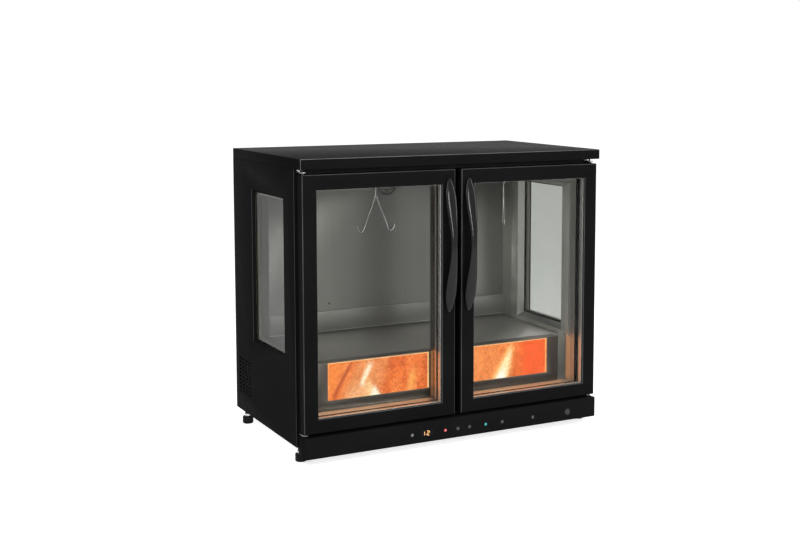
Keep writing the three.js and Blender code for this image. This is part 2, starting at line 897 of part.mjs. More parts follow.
function ceilingLamp() {
  const y = frameBackY + ceilingLampSetback;
  const shape = new THREE.Shape();
  const top = ceilingZ - seat;
  shape.moveTo(y, top);
  shape.lineTo(y + ceilingLampWidth, top);
  shape.quadraticCurveTo(
    y + ceilingLampWidth, top - ceilingLampDepth, y + ceilingLampWidth / 2, top - ceilingLampDepth,
  );
  shape.quadraticCurveTo(y, top - ceilingLampDepth, y, top);
  const outer = linerX - ceilingLampEndGap;
  return prismX(shape, -outer, outer, 4);
}

// A finned coil: plates across straight tube passes, with return bends left as end plates
function finnedCoil(length, height, depth, fins, passes) {
  const pieces = [];
  const pitch = (length - finThickness) / (fins - 1);
  for (let i = 0; i < fins; i += 1) {
    const x = -length / 2 + i * pitch;
    pieces.push(block(x, x + finThickness, -depth / 2, depth / 2, -height / 2, height / 2));
  }
  for (let i = 0; i < passes; i += 1) {
    const z = (i - (passes - 1) / 2) * (height / passes);
    pieces.push(rodX(0, z, -length / 2 - coilTubeRadius, length / 2 + coilTubeRadius, coilTubeRadius, 8));
  }
  return join(...pieces);
}

function evaporator() {
  const coil = finnedCoil(
    evaporatorWidth, evaporatorHeight, evaporatorDepth, evaporatorFins, evaporatorPasses,
  );
  const y = linerBackY - seat - evaporatorDepth / 2;
  return coil.translate(0, y, stepZ + evaporatorRise + evaporatorHeight / 2);
}

// A fan wheel about the Y axis: hub and pitched blades
function fanWheel(radius, depth, hubRadius) {
  const pieces = [rodY(0, 0, -depth / 2, depth / 2, hubRadius)];
  const tilt = Math.atan2(depth - fanBladeThickness, radius);
  for (let i = 0; i < fanBlades; i += 1) {
    const shape = new THREE.Shape();
    const spread = Math.PI / fanBlades;
    shape.absarc(0, 0, radius, Math.PI / 2 - spread / 2, Math.PI / 2 + spread / 2, false);
    shape.lineTo(-hubRadius / 3, hubRadius / 2);
    shape.lineTo(hubRadius / 3, hubRadius / 2);
    shape.closePath();
    const blade = prismY(shape, -fanBladeThickness / 2, fanBladeThickness / 2, 4);
    blade.rotateZ(tilt).rotateY((i * 2 * Math.PI) / fanBlades);
    pieces.push(blade);
  }
  return join(...pieces);
}

// Cooling coil fan: motor on the liner, wheel between it and the guard
const airMotorBackY = linerBackY - seat;
const airMotorFrontY = airMotorBackY - airMotorDepth;
const airWheelY = airMotorFrontY - seat - airFanDepth / 2;

function airFanMount() {
  return rodY(0, airFanZ, airMotorFrontY, airMotorBackY, airMotorRadius);
}

// Hanging rail: a round bar on three posts that are screwed to the ceiling
function hangingRail() {
  const end = linerX - railEndGap;
  const posts = [-1, 0, 1].flatMap((side) => {
    const x = side * (end - railPostInset);
    const top = ceilingZ - seat;
    return [
      rodZ(x, railY, railZ, top, railPostRadius, holeSides),
      rodZ(x, railY, top - railFlangeThickness, top, railFlangeRadius),
    ];
  });
  return join(rodX(railY, railZ, -end, end, railRadius, holeSides), ...posts);
}

// Hook: an open eye over the rail, a neck, two spread legs and their upturned tips.
// The eye's centre is the origin, and the legs may be turned about the neck.
function hookEye() {
  const points = [];
  for (let i = 0; i <= hookEyeSteps; i += 1) {
    const degrees = THREE.MathUtils.lerp(hookEyeStartDegrees, hookEyeEndDegrees, i / hookEyeSteps);
    const angle = THREE.MathUtils.degToRad(degrees);
    const y = hookEyeRadius * Math.cos(angle);
    points.push(new THREE.Vector3(0, y, hookEyeRadius * Math.sin(angle)));
  }
  return wire(new THREE.CatmullRomCurve3(points), hookWireRadius, 2 * hookEyeSteps, hookWireSides);
}

function hookLeg(side) {
  const knee = -hookEyeRadius - hookNeck;
  const low = knee - hookLegDrop;
  const reach = side * hookSpread;
  const points = [
    [0, -hookEyeRadius + hookWireRadius],
    [0, knee + hookNeck / 2],
    [reach / 8, knee - hookNeck / 4],
    [reach, low],
    ...hookTipShares.map(([out, down]) => [
      reach + side * out * hookTipRadius,
      low - down * hookTipRadius,
    ]),
  ];
  const curve = new THREE.CatmullRomCurve3(points.map(([x, z]) => new THREE.Vector3(x, 0, z)));
  return wire(curve, hookWireRadius, hookLegSteps, hookWireSides);
}

function hook(turnDegrees) {
  const turn = THREE.MathUtils.degToRad(turnDegrees);
  return join(hookEye(), hookLeg(-1).rotateZ(turn), hookLeg(1).rotateZ(turn));
}

// Compressor: a welded pot on a foot plate with its four bonded grommets
function compressor() {
  const pot = turned(compressorShares.map(([out, up]) => [
    out * compressorRadius,
    up * compressorHeight,
  ]));
  const plate = block(
    -compressorPlateLength / 2, compressorPlateLength / 2,
    -compressorPlateWidth / 2, compressorPlateWidth / 2, -compressorFootPlate, seat,
  );
  const profile = [
    [0, -compressorFootPlate - mountHeight],
    [mountRadius, -compressorFootPlate - mountHeight],
    [mountRadius, -compressorFootPlate - (2 * mountHeight) / 3],
    [(mountRadius * 3) / 4, -compressorFootPlate - mountHeight / 2],
    [mountRadius, -compressorFootPlate - mountHeight / 3],
    [mountRadius, seat],
    [0, seat],
  ];
  const grommets = [-1, 1].flatMap((side) => [-1, 1].map((end) => moved(
    turned(profile, mountSides),
    side * (compressorPlateLength / 2 - mountInset),
    end * (compressorPlateWidth / 2 - mountInset),
    0,
  )));
  return join(pot, plate, ...grommets);
}

const compressorZ = panTopZ + seat + mountHeight + compressorFootPlate;
const compressorY = rearY - compressorFromRear;

// Condenser beside the left vents, its fan and shroud inboard of it
const condenserX = -halfWidth + condenserFromSide + condenserDepth / 2;
const condenserY = rearY - condenserFromRear - condenserWidth / 2;
const condenserZ = panTopZ + seat + condenserFoot + condenserHeight / 2;

function condenser() {
  const coil = finnedCoil(
    condenserWidth, condenserHeight, condenserDepth, condenserFins, condenserPasses,
  );
  coil.rotateZ(Math.PI / 2);
  const side = condenserDepth / 2;
  const foot = (y) => block(
    -side, side, y, y + finThickness,
    -condenserHeight / 2 - condenserFoot, -condenserHeight / 2 + condenserFoot,
  );
  const ends = [foot(-condenserWidth / 2), foot(condenserWidth / 2 - finThickness)];
  return join(coil, ...ends).translate(condenserX, condenserY, condenserZ);
}

const shroudX = condenserX + condenserDepth / 2 + coilTubeRadius / 4 + shroudGap;
const coolingWheelX = shroudX + shroudThickness + shroudGap + coolingFanDepth / 2;
const coolingMotorX = coolingWheelX + coolingFanDepth / 2 + seat;

// Shroud plate, struts and motor in one carrier
function condenserFanMount() {
  const half = condenserWidth / 2;
  const low = -condenserHeight / 2 - condenserFoot;
  const plate = prismX(rectangleShape([-half, half, low, condenserHeight / 2]), 0, shroudThickness);
  const bore = rodX(0, 0, -overrun, overrun, coolingFanRadius + fanTipGap, 2 * holeSides);
  const motorAt = coolingMotorX - shroudX;
  const motor = rodX(0, 0, motorAt, motorAt + coolingMotorDepth, coolingMotorRadius);
  const reach = coolingFanRadius + fanTipGap + strutWidth / 2;
  const struts = [-1, 1].map((side) => {
    const post = block(
      0, motorAt + strutWidth, side * reach - strutWidth / 2, side * reach + strutWidth / 2,
      -strutWidth / 2, strutWidth / 2,
    );
    const arm = block(
      motorAt, motorAt + strutWidth, Math.min(0, side * reach), Math.max(0, side * reach),
      -strutWidth / 2, strutWidth / 2,
    );
    return join(post, arm);
  });
  return join(cut(plate, bore), motor, ...struts).translate(shroudX, condenserY, condenserZ);
}

function dripTray() {
  const x = -trayFromCentre;
  const y = stepNoseY + linerSheet + stepFoam + trayDepth / 2 + overrun;
  const z = panTopZ + seat;
  const half = trayWidth / 2;
  const outer = block(x - half, x + half, y - trayDepth / 2, y + trayDepth / 2, z, z + trayHeight);
  const inner = block(
    x - half + trayWall, x + half - trayWall, y - trayDepth / 2 + trayWall,
    y + trayDepth / 2 - trayWall, z + trayWall, z + trayHeight + overrun,
  );
  return cut(outer, inner);
}

// Control strip: a folded cover under the doors, with its control holes
function controlStrip() {
  const x0 = halfWidth - stripInset;
  const path = [
    [-x0 + skin / 2, carcassFrontY - seat],
    [-x0 + skin / 2, frontY + skin / 2],
    [x0 - skin / 2, frontY + skin / 2],
    [x0 - skin / 2, carcassFrontY - seat],
  ];
  const cover = prismZ(sheetShape(path, skin), stripRise, stripTopZ);
  const flangeBack = carcassFrontY - stripFlangeGap;
  const upper = block(-x0 + seat, x0 - seat, frontY + seat, flangeBack, stripTopZ - skin, stripTopZ);
  const lower = block(
    -x0 + seat, x0 - seat, frontY + seat, frontY + stripLowerReturn, stripRise, stripRise + skin,
  );
  const hole = (x, radius) => rodY(
    x, controlZ, frontY - overrun, frontY + overrun, radius, holeSides,
  );
  const keyHoles = keyPlaces.map(([, x]) => hole(x, keyRadius + keyHoleGap));
  const lensHoles = indicatorPlaces.map((x) => hole(x, indicatorRadius + seat));
  const powerHole = hole(powerPlace, powerRadius + keyHoleGap);
  const displayHole = prismY(
    rectangleShape(grown(displayRect, seat)), frontY - overrun, frontY + overrun,
  );
  return cut(join(cover, upper, lower), ...keyHoles, ...lensHoles, powerHole, displayHole);
}

const keyPlaces = [
  ["light_key", lightKeyPlace],
  ["down_key", downKeyPlace],
  ["up_key", upKeyPlace],
  ["set_key", setKeyPlace],
  ["humidity_key", humidityKeyPlace],
];
const indicatorPlaces = [redIndicatorPlace, greenIndicatorPlace];
const displayRect = [
  displayPlace - displayWidth / 2, displayPlace + displayWidth / 2,
  controlZ - displayHeight / 2, controlZ + displayHeight / 2,
];
const boardY = frontY + skin + boardSetback;

// A push button about the Y axis: dished cap, retaining flange and stem. Origin on the strip face.
function pushButton(radius, travel) {
  const behind = skin + travel + seat;
  const stemEnd = boardSetback + skin - travel - seat;
  const dish = keyProud / 2;
  const profile = [
    ...keyDishShares.map(([out, down]) => [out * radius, keyProud - down * dish]),
    [radius, -skin - seat],
    [radius + keyFlange, -skin - seat],
    [radius + keyFlange, -skin - seat - keyFlangeThickness],
    [keyStemRadius, -behind - keyFlangeThickness],
    [keyStemRadius, -stemEnd],
    [0, -stemEnd],
  ];
  return turned(profile.reverse(), holeSides).rotateX(Math.PI / 2);
}

function displayWindow() {
  const lens = prismY(rectangleShape(displayRect), frontY + seat, frontY + displayThickness);
  const lip = prismY(
    rectangleShape(grown(displayRect, displayLip)),
    frontY + skin + seat, frontY + skin + seat + displayLipThickness,
  );
  const socket = prismY(rectangleShape(grown(displayRect, -displayLip)), frontY + skin, boardY - seat);
  return join(lens, lip, socket);
}

// Light guide: both indicator lenses on one clear bar that runs below the keys
function lightGuide() {
  const back = boardY - seat;
  const barTop = controlZ - keyRadius - keyFlange - guideGap;
  const barLow = barTop - guideThickness;
  const lenses = indicatorPlaces.flatMap((x) => {
    const profile = [
      [0, -boardSetback - skin + seat],
      [indicatorRadius, -boardSetback - skin + seat],
      [indicatorRadius, 0],
      [(indicatorRadius * 2) / 3, (indicatorRise * 4) / 5],
      [0, indicatorRise],
    ];
    const lens = turned(profile, holeSides).rotateX(Math.PI / 2).translate(x, frontY, controlZ);
    const leg = block(
      x - guideThickness / 2, x + guideThickness / 2, back - guideThickness, back, barLow, controlZ,
    );
    return [lens, leg];
  });
  const bar = block(
    redIndicatorPlace, greenIndicatorPlace, back - guideThickness, back, barLow, barTop,
  );
  return join(bar, ...lenses);
}

function controlBoard() {
  const x0 = lightKeyPlace - boardMargin;
  const x1 = powerPlace + boardMargin;
  const low = controlZ - boardHeight / 2 + seat;
  const sheet = block(x0, x1, boardY, boardY + boardThickness, low, low + boardHeight);
  const posts = [x0 + boardMargin / 2, x1 - boardMargin / 2].map((x) =>
    rodY(x, controlZ, frontY + skin + seat, boardY + seat, standoffRadius, holeSides),
  );
  return join(sheet, ...posts);
}

// Hinge plates: an upright leg on the carcass, a forward plate and the pivot pin
function hingePlate(pinDirection) {
  const legFront = carcassFrontY - seat - plateThickness;
  const legEnd = pinDirection > 0 ? -plateLeg : worktopUnderZ - seat - upperPlateZ;
  const profile = new THREE.Shape();
  profile.moveTo(pivotX - plateHalfWidth, carcassFrontY - seat);
  profile.lineTo(pivotX - plateHalfWidth, pivotY);
  profile.absarc(pivotX, pivotY, plateHalfWidth, Math.PI, 2 * Math.PI, false);
  profile.lineTo(pivotX + plateHalfWidth, carcassFrontY - seat);
  profile.closePath();
  const plate = prismZ(profile, 0, plateThickness, 8);
  const leg = block(
    pivotX - plateHalfWidth, pivotX + plateHalfWidth, legFront, carcassFrontY - seat,
    Math.min(0, legEnd), Math.max(plateThickness, legEnd),
  );
  const pinEnd = pinDirection > 0 ? plateThickness + plateDoorGap + pinReach : -plateDoorGap - pinReach;
  const pin = rodZ(pivotX, pivotY, Math.min(seat, pinEnd), Math.max(seat, pinEnd), pinRadius, roundSides);
  return join(plate, leg, pin);
}

const lowerPlateZ = doorZ0 - plateDoorGap - plateThickness;
const upperPlateZ = doorZ1 + plateDoorGap;

function lowerHingePlate() {
  return hingePlate(1).translate(0, 0, lowerPlateZ);
}

function upperHingePlate() {
  return hingePlate(-1).translate(0, 0, upperPlateZ);
}

// Right door, in cabinet coordinates; rectangles are [x0, x1, z0, z1]
const doorRect = [doorX0, doorX1, doorZ0, doorZ1];
const glassRect = [
  doorX0 + doorStile, doorX1 - doorStile, doorZ0 + doorBottomRail, doorZ1 - doorStile,
];
const doorPaneRect = grown(glassRect, doorGlassLap - seat);
const doorOuterPaneY = doorFrontY + doorFrontLip + seat;
const doorInnerPaneY = doorOuterPaneY + paneThickness + doorSpacerDepth;
const doorPaneBackY = doorInnerPaneY + paneThickness;

function doorFrame() {
  const ring = chamferedPrismY(ringShape(doorRect, glassRect), doorFrontY, doorBackY, doorEdge);
  const groove = prismY(
    rectangleShape(grown(glassRect, doorGlassLap)), doorFrontY + doorFrontLip, doorPaneBackY + seat,
  );
  const bore = pinRadius + pinGap;
  const depth = pinReach + seat;
  return cut(
    ring, groove,
    rodZ(pivotX, pivotY, doorZ0 - overrun, doorZ0 + depth, bore, roundSides),
    rodZ(pivotX, pivotY, doorZ1 - depth, doorZ1 + overrun, bore, roundSides),
  );
}

// Door glass: two panes sealed on a hollow spacer bar, with the bar's filling hole left open
function doorGlass() {
  const outside = prismY(rectangleShape(doorPaneRect), doorOuterPaneY, doorPaneBackY);
  const hollow = grown(doorPaneRect, -doorSpacerWidth);
  const cavity = prismY(rectangleShape(hollow), doorOuterPaneY + paneThickness, doorInnerPaneY);
  const middleY = (doorOuterPaneY + doorPaneBackY) / 2;
  const hole = rodZ(
    hollow[1] - doorSpacerWidth, middleY, hollow[3] - seat, doorPaneRect[3] + overrun,
    fillHoleRadius, 8,
  );
  return cut(outside, cavity, hole);
}

// Magnetic gasket: a bellows strip with a hollow waist all round
function doorGasket() {
  const outer = grown(doorRect, -gasketInset);
  const inner = grown(outer, -gasketWidth);
  const y0 = doorBackY + seat;
  const y1 = carcassFrontY - seat;
  const waist = (y1 - y0) / 4;
  const base = prismY(ringShape(outer, inner), y0, y1);
  const cutOuter = cut(
    prismY(rectangleShape(grown(outer, overrun)), y0 + waist, y1 - waist),
    prismY(rectangleShape(grown(outer, -gasketLip)), y0, y1),
  );
  const cutInner = prismY(rectangleShape(grown(inner, gasketLip)), y0 + waist, y1 - waist);
  return cut(base, cutOuter, cutInner);
}

// Handle: a bowed grip whose width swells near each end and tapers to a tip
function handleSection(share) {
  const fromEnd = Math.min(share, 1 - share) * 2;
  const swell = Math.sin(Math.min(fromEnd / handleSwellShare, 1) * (Math.PI / 2));
  const narrow = THREE.MathUtils.smoothstep(fromEnd, handleSwellShare, 1);
  const wide = THREE.MathUtils.lerp(handleTipWidth, handleEndWidth, swell);
  const width = THREE.MathUtils.lerp(wide, handleMiddleWidth, narrow);
  const thickness = THREE.MathUtils.lerp(handleTipThickness, handleThickness, swell);
  const bow = Math.pow(Math.sin(Math.PI * share), handleBowShare);
  const reach = thickness + (handleReach - thickness) * bow;
  return { width, thickness, reach };
}

function handle() {
  const positions = [];
  const faces = [];
  for (let station = 0; station <= handleStations; station += 1) {
    const share = station / handleStations;
    const { width, thickness, reach } = handleSection(share);
    const z = (share - 1 / 2) * handleLength;
    for (let side = 0; side < handleSides; side += 1) {
      const angle = (side / handleSides) * 2 * Math.PI;
      const bend = (value) => Math.sign(value) * Math.pow(Math.abs(value), handleCornerShare);
      const x = (width / 2) * bend(Math.cos(angle));
      const y = -reach + thickness / 2 + (thickness / 2) * bend(Math.sin(angle));
      positions.push(x, y, z);
    }
  }
  const first = positions.length / 3;
  const end = handleSection(0);
  positions.push(0, -end.reach + end.thickness / 2, -handleLength / 2);
  positions.push(0, -end.reach + end.thickness / 2, handleLength / 2);
  for (let station = 0; station < handleStations; station += 1) {
    for (let side = 0; side < handleSides; side += 1) {
      const next = (side + 1) % handleSides;
      const a = station * handleSides + side;
      const b = station * handleSides + next;
      faces.push(a, b, b + handleSides, a, b + handleSides, a + handleSides);
    }
  }
  const last = handleStations * handleSides;
  for (let side = 0; side < handleSides; side += 1) {
    const next = (side + 1) % handleSides;
    faces.push(first, next, side, first + 1, last + side, last + next);
  }
  const geometry = new THREE.BufferGeometry();
  geometry.setAttribute("position", new THREE.Float32BufferAttribute(positions, 3));
  geometry.setIndex(faces);
  return geometry;
}

const handleX = doorX0 + handleCentreInset;
const handleZ = doorZ1 - handleCentreDrop;

// Each door is a group on its pivot, and its pieces are placed from there
function buildDoor(prefix, mirrored) {
  const door = new THREE.Group();
  door.position.set(mirrored ? -pivotX : pivotX, pivotY, 0);
  const add = (name, geometry, material) => {
    const local = mirrored ? mirrorX(geometry) : geometry.clone();
    local.translate(-door.position.x, -pivotY, 0);
    return place(door, `${prefix}_${name}`, local, material);
  };
  add("door_frame", doorFrame(), finish.blackPaint());
  add("door_glass", doorGlass(), finish.glass());
  add("door_gasket", doorGasket(), finish.rubber());
  const grip = place(door, `${prefix}_door_handle`, handle(), finish.blackPlastic());
  const side = mirrored ? -1 : 1;
  grip.position.set(side * handleX - door.position.x, doorFrontY - seat - pivotY, handleZ);
  cabinet.add(door);
}

function buildCarcass() {
  place(cabinet, "worktop", worktop(), finish.blackPaint());
  placeBothSides("side_panel", sidePanel(), finish.blackPaint);
  place(cabinet, "rear_panel", rearPanel(), finish.blackPaint());
  place(cabinet, "base_pan", basePan(), finish.zinc());
  place(cabinet, "insulation", insulation(), finish.foam());
  place(cabinet, "front_frame", frontFrame(), finish.greyPlastic());
  const footX = halfWidth - footFromSide;
  const frontFootY = carcassFrontY + footFromCarcassFront;
  for (const [side, x] of [["left", -footX], ["right", footX]]) {
    place(cabinet, `front_${side}_foot`, foot(), finish.rubber()).position.set(x, frontFootY, 0);
    const rear = place(cabinet, `rear_${side}_foot`, foot(), finish.rubber());
    rear.position.set(x, rearY - footFromRear, 0);
  }
  place(cabinet, "power_inlet", powerInlet(), finish.blackPlastic());
  placeBothSides("lower_hinge_plate", lowerHingePlate(), finish.zinc);
  placeBothSides("upper_hinge_plate", upperHingePlate(), finish.zinc);
}

function buildLiner() {
  placeBothSides("liner", linerSide(), finish.stainless);
  const x = linerX - seat;
  const backSheet = block(
    -x - seat - linerSheet, x + seat + linerSheet, linerBackY + seat, linerBackY + linerSheet,
    stepZ + seat, ceilingZ - seat,
  );
  place(cabinet, "back_liner", backSheet, finish.stainless());
  const ceilingSheet = block(
    -x - seat - linerSheet, x + seat + linerSheet, frameBackY + seat, linerBackY + linerSheet,
    ceilingZ, ceilingZ + linerSheet,
  );
  place(cabinet, "ceiling_liner", ceilingSheet, finish.stainless());
  place(cabinet, "step_liner", linerStep(), finish.stainless());
  place(cabinet, "duct_cover", ductCover(), finish.stainless());
}

function buildSideGlazing() {
  placeBothSides("window_glass", windowGlass(), finish.glass);
  placeBothSides("window_surround", windowSurround(), finish.stainless);
}

function buildInterior() {
  place(cabinet, "salt_frame", saltFrame(), finish.stainless());
  place(cabinet, "left_salt_slab", saltSlab(-1), finish.salt());
  place(cabinet, "right_salt_slab", saltSlab(1), finish.salt());
  place(cabinet, "salt_lamp", saltLamp(), finish.lamp());
  place(cabinet, "ceiling_lamp", ceilingLamp(), finish.lamp());
  place(cabinet, "hanging_rail", hangingRail(), finish.stainless());
  const hooks = [
    ["left_hook", leftHookPlace, 0],
    ["right_hook", rightHookPlace, rightHookTurnDegrees],
  ];
  for (const [name, x, turn] of hooks) {
    const mesh = place(cabinet, name, hook(turn), finish.stainless());
    mesh.position.set(x, railY, railZ + railRadius + hookWireRadius + seat - hookEyeRadius);
  }
}

function buildCooling() {
  place(cabinet, "evaporator", evaporator(), finish.aluminium());
  place(cabinet, "evaporator_fan_motor", airFanMount(), finish.blackPlastic());
  const airWheel = fanWheel(airFanRadius, airFanDepth, airMotorRadius);
  place(cabinet, "evaporator_fan_wheel", airWheel, finish.blackPlastic())
    .position.set(0, airWheelY, airFanZ);
  place(cabinet, "compressor", compressor(), finish.blackPaint())
    .position.set(compressorFromCentre, compressorY, compressorZ);
  place(cabinet, "condenser", condenser(), finish.aluminium());
  place(cabinet, "condenser_fan_mount", condenserFanMount(), finish.zinc());
  const coolingWheel = fanWheel(coolingFanRadius, coolingFanDepth, fanHubRadius);
  const wheel = place(cabinet, "condenser_fan_wheel", coolingWheel, finish.blackPlastic());
  wheel.position.set(coolingWheelX, condenserY, condenserZ);
  wheel.rotation.z = Math.PI / 2;
  place(cabinet, "drip_tray", dripTray(), finish.greyPlastic());
}

function buildControls() {
  place(cabinet, "control_strip", controlStrip(), finish.blackPaint());
  place(cabinet, "control_board", controlBoard(), finish.board());
  place(cabinet, "display_window", displayWindow(), finish.amberLens());
  place(cabinet, "indicator_light_guide", lightGuide(), finish.redLens());
  for (const [name, x] of keyPlaces) {
    const key = place(cabinet, name, pushButton(keyRadius, keyTravel), finish.keyCap());
    key.position.set(x, frontY, controlZ);
  }
  const power = place(cabinet, "power_button", pushButton(powerRadius, powerTravel), finish.keyCap());
  power.position.set(powerPlace, frontY, controlZ);
}

buildCarcass();
buildLiner();
buildSideGlazing();
buildInterior();
buildCooling();
buildControls();
buildDoor("left", true);
buildDoor("right", false);

export default cabinet;
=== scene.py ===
"""Dry aging cabinet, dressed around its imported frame.

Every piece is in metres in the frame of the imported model: X to the right, Y to the back, Z up.
Sizes in the classes below are written in millimetres and pass through spot() on their way.
"""

import logging
import math
from contextlib import contextmanager
from dataclasses import dataclass
from enum import Enum
from typing import Any, Callable, Iterator, Sequence

import bmesh
import bpy
from mathutils import Matrix, Vector


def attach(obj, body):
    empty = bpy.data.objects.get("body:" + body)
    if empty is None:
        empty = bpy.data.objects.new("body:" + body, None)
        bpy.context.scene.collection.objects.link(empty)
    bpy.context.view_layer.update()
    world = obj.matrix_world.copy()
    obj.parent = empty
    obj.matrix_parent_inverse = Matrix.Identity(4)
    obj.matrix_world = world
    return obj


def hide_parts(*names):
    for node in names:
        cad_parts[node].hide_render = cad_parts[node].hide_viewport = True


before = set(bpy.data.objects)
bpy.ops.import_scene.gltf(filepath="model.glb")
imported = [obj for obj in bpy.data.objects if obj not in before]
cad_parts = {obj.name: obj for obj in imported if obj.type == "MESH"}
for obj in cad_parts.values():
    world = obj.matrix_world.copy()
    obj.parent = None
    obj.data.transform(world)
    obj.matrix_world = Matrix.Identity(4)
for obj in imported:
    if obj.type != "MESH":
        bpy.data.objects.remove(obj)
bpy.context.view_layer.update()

LOG = logging.getLogger("dry_aging_cabinet")
METRES = 0.001
SIDES = {"left": -1, "right": 1}
SEEN_RAYS = ("Is Camera Ray", "Is Transmission Ray", "Is Glossy Ray")

Pair = tuple[float, float]
Place = tuple[float, float, float]
Colour = tuple[float, float, float]
Piece = bpy.types.Object
Socket = bpy.types.NodeSocket

# How refined() rounds a piece: bevel, segments, shortest and least_angle, as far as they are set.
Edges = tuple[float, ...]

# Corners of a CAD mesh nearer than WELD millimetres are one, and faces that turn less than FLAT degrees are one.
WELD = 0.004
FLAT = 0.4


def spot(x: float, y: float, z: float) -> Vector:
    """Turn a place in millimetres into one in metres."""
    return Vector((x, y, z)) * METRES


# ---------------------------------------------------------------- modelling bench


def deselect() -> None:
    """Leave edit mode and drop every selection."""
    if bpy.context.object is not None and bpy.context.object.mode != "OBJECT":
        bpy.ops.object.mode_set(mode="OBJECT")
    bpy.ops.object.select_all(action="DESELECT")


def pick_up(*pieces: Piece) -> None:
    """Select the given pieces alone, the first of them active."""
    deselect()
    for piece in pieces:
        piece.select_set(True)
    bpy.context.view_layer.objects.active = pieces[0]


@contextmanager
def editing(piece: Piece, mode: str = "FACE") -> Iterator[None]:
    """Hold a piece in edit mode with nothing selected.

    Args:
        piece: The mesh to edit.
        mode: What is selected in it: VERT, EDGE or FACE.
    """
    pick_up(piece)
    bpy.ops.object.mode_set(mode="EDIT")
    bpy.ops.mesh.select_mode(type=mode)
    bpy.ops.mesh.select_all(action="DESELECT")
    try:
        yield
    finally:
        bpy.ops.object.mode_set(mode="OBJECT")


def choose(piece: Piece, wanted: Callable[[Any], bool], kind: str = "FACE") -> int:
    """Select the faces or edges of a piece in edit mode that pass a test.

    Args:
        piece: The mesh in edit mode.
        wanted: Says of one face or edge whether it is selected.
        kind: EDGE or FACE, as in editing().

    Returns:
        How many were selected.
    """
    mesh = bmesh.from_edit_mesh(piece.data)
    chosen = [part for part in (mesh.edges if kind == "EDGE" else mesh.faces) if wanted(part)]
    for part in chosen:
        part.select_set(True)
    bmesh.update_edit_mesh(piece.data)
    return len(chosen)


def smooth(piece: Piece, degrees: float = 35) -> Piece:
    """Shade a piece smooth across edges flatter than an angle, and return it."""
    pick_up(piece)
    bpy.ops.object.shade_smooth_by_angle(angle=math.radians(degrees))
    return piece


def bevel_edges(width: float, segments: int = 2) -> None:
    """Round the selected edges by a width in millimetres."""
    bpy.ops.mesh.bevel(
        offset=width * METRES, offset_type="OFFSET", segments=segments, affect="EDGES", clamp_overlap=True
    )


def settle(piece: Piece) -> None:
    """Put a new piece's place, turn and scale into its mesh."""
    pick_up(piece)
    bpy.ops.object.transform_apply(location=True, rotation=True, scale=True)


def box(name: str, low: Sequence[float], high: Sequence[float]) -> Piece:
    """Model a sharp box between two corners in millimetres, for the operators that follow."""
    deselect()
    a, b = spot(*low), spot(*high)
    bpy.ops.mesh.primitive_cube_add(size=1, location=(a + b) / 2)
    piece = bpy.context.object
    piece.name = piece.data.name = name
    piece.scale = b - a
    settle(piece)
    return piece


def block(
    name: str, low: Sequence[float], high: Sequence[float], bevel: float = 0.5, segments: int = 2
) -> Piece:
    """Model a bar, plate or cap with rounded edges.

    Args:
        name: The new piece's name.
        low: Its lowest corner in millimetres.
        high: Its highest corner in millimetres.
        bevel: How far its edges are rounded.
        segments: Steps in that rounding.

    Returns:
        The new piece.
    """
    piece = box(name, low, high)
    with editing(piece, "EDGE"):
        bpy.ops.mesh.select_all(action="SELECT")
        bevel_edges(bevel, segments)
    return smooth(piece)


def surround(
    name: str, low: Sequence[float], high: Sequence[float], width: float, axis: int, bevel: float = 0.4
) -> Piece:
    """Model a rectangular ring: a block whose two faces across an axis are inset and bridged.

    Args:
        name: The new piece's name.
        low: Its lowest corner in millimetres.
        high: Its highest corner in millimetres.
        width: How wide its four bars are.
        axis: The axis that one looks along through it, 0, 1 or 2.
        bevel: How far its edges are rounded.

    Returns:
        The new piece.
    """
    piece = box(name, low, high)
    with editing(piece):
        choose(piece, lambda face: abs(face.normal[axis]) > 0.9)
        bpy.ops.mesh.inset(thickness=width * METRES, use_individual=True)
        bpy.ops.mesh.bridge_edge_loops()
    with editing(piece, "EDGE"):
        choose(piece, lambda edge: edge.calc_face_angle(0) > 0.7, "EDGE")
        bevel_edges(bevel, 2)
        bpy.ops.mesh.select_all(action="SELECT")
        bpy.ops.mesh.normals_make_consistent(inside=False)
    return smooth(piece)


def rod(
    name: str, start: Sequence[float], end: Sequence[float], radius: float, sides: int = 24, bevel: float = 0.4
) -> Piece:
    """Model a round bar or disc between two places with rounded rims.

    Args:
        name: The new piece's name.
        start: The middle of one end in millimetres.
        end: The middle of the other.
        radius: Its radius.
        sides: Faces round it.
        bevel: How far its rims are rounded.

    Returns:
        The new piece.
    """
    deselect()
    a, b = spot(*start), spot(*end)
    bpy.ops.mesh.primitive_cylinder_add(vertices=sides, radius=radius * METRES, depth=(b - a).length)
    piece = bpy.context.object
    piece.name = piece.data.name = name
    piece.matrix_world = Matrix.Translation((a + b) / 2) @ (b - a).to_track_quat("Z", "Y").to_matrix().to_4x4()
    settle(piece)
    with editing(piece, "EDGE"):
        choose(piece, lambda edge: edge.calc_face_angle(0) > 1.2, "EDGE")
        bevel_edges(bevel, 2)
    return smooth(piece)


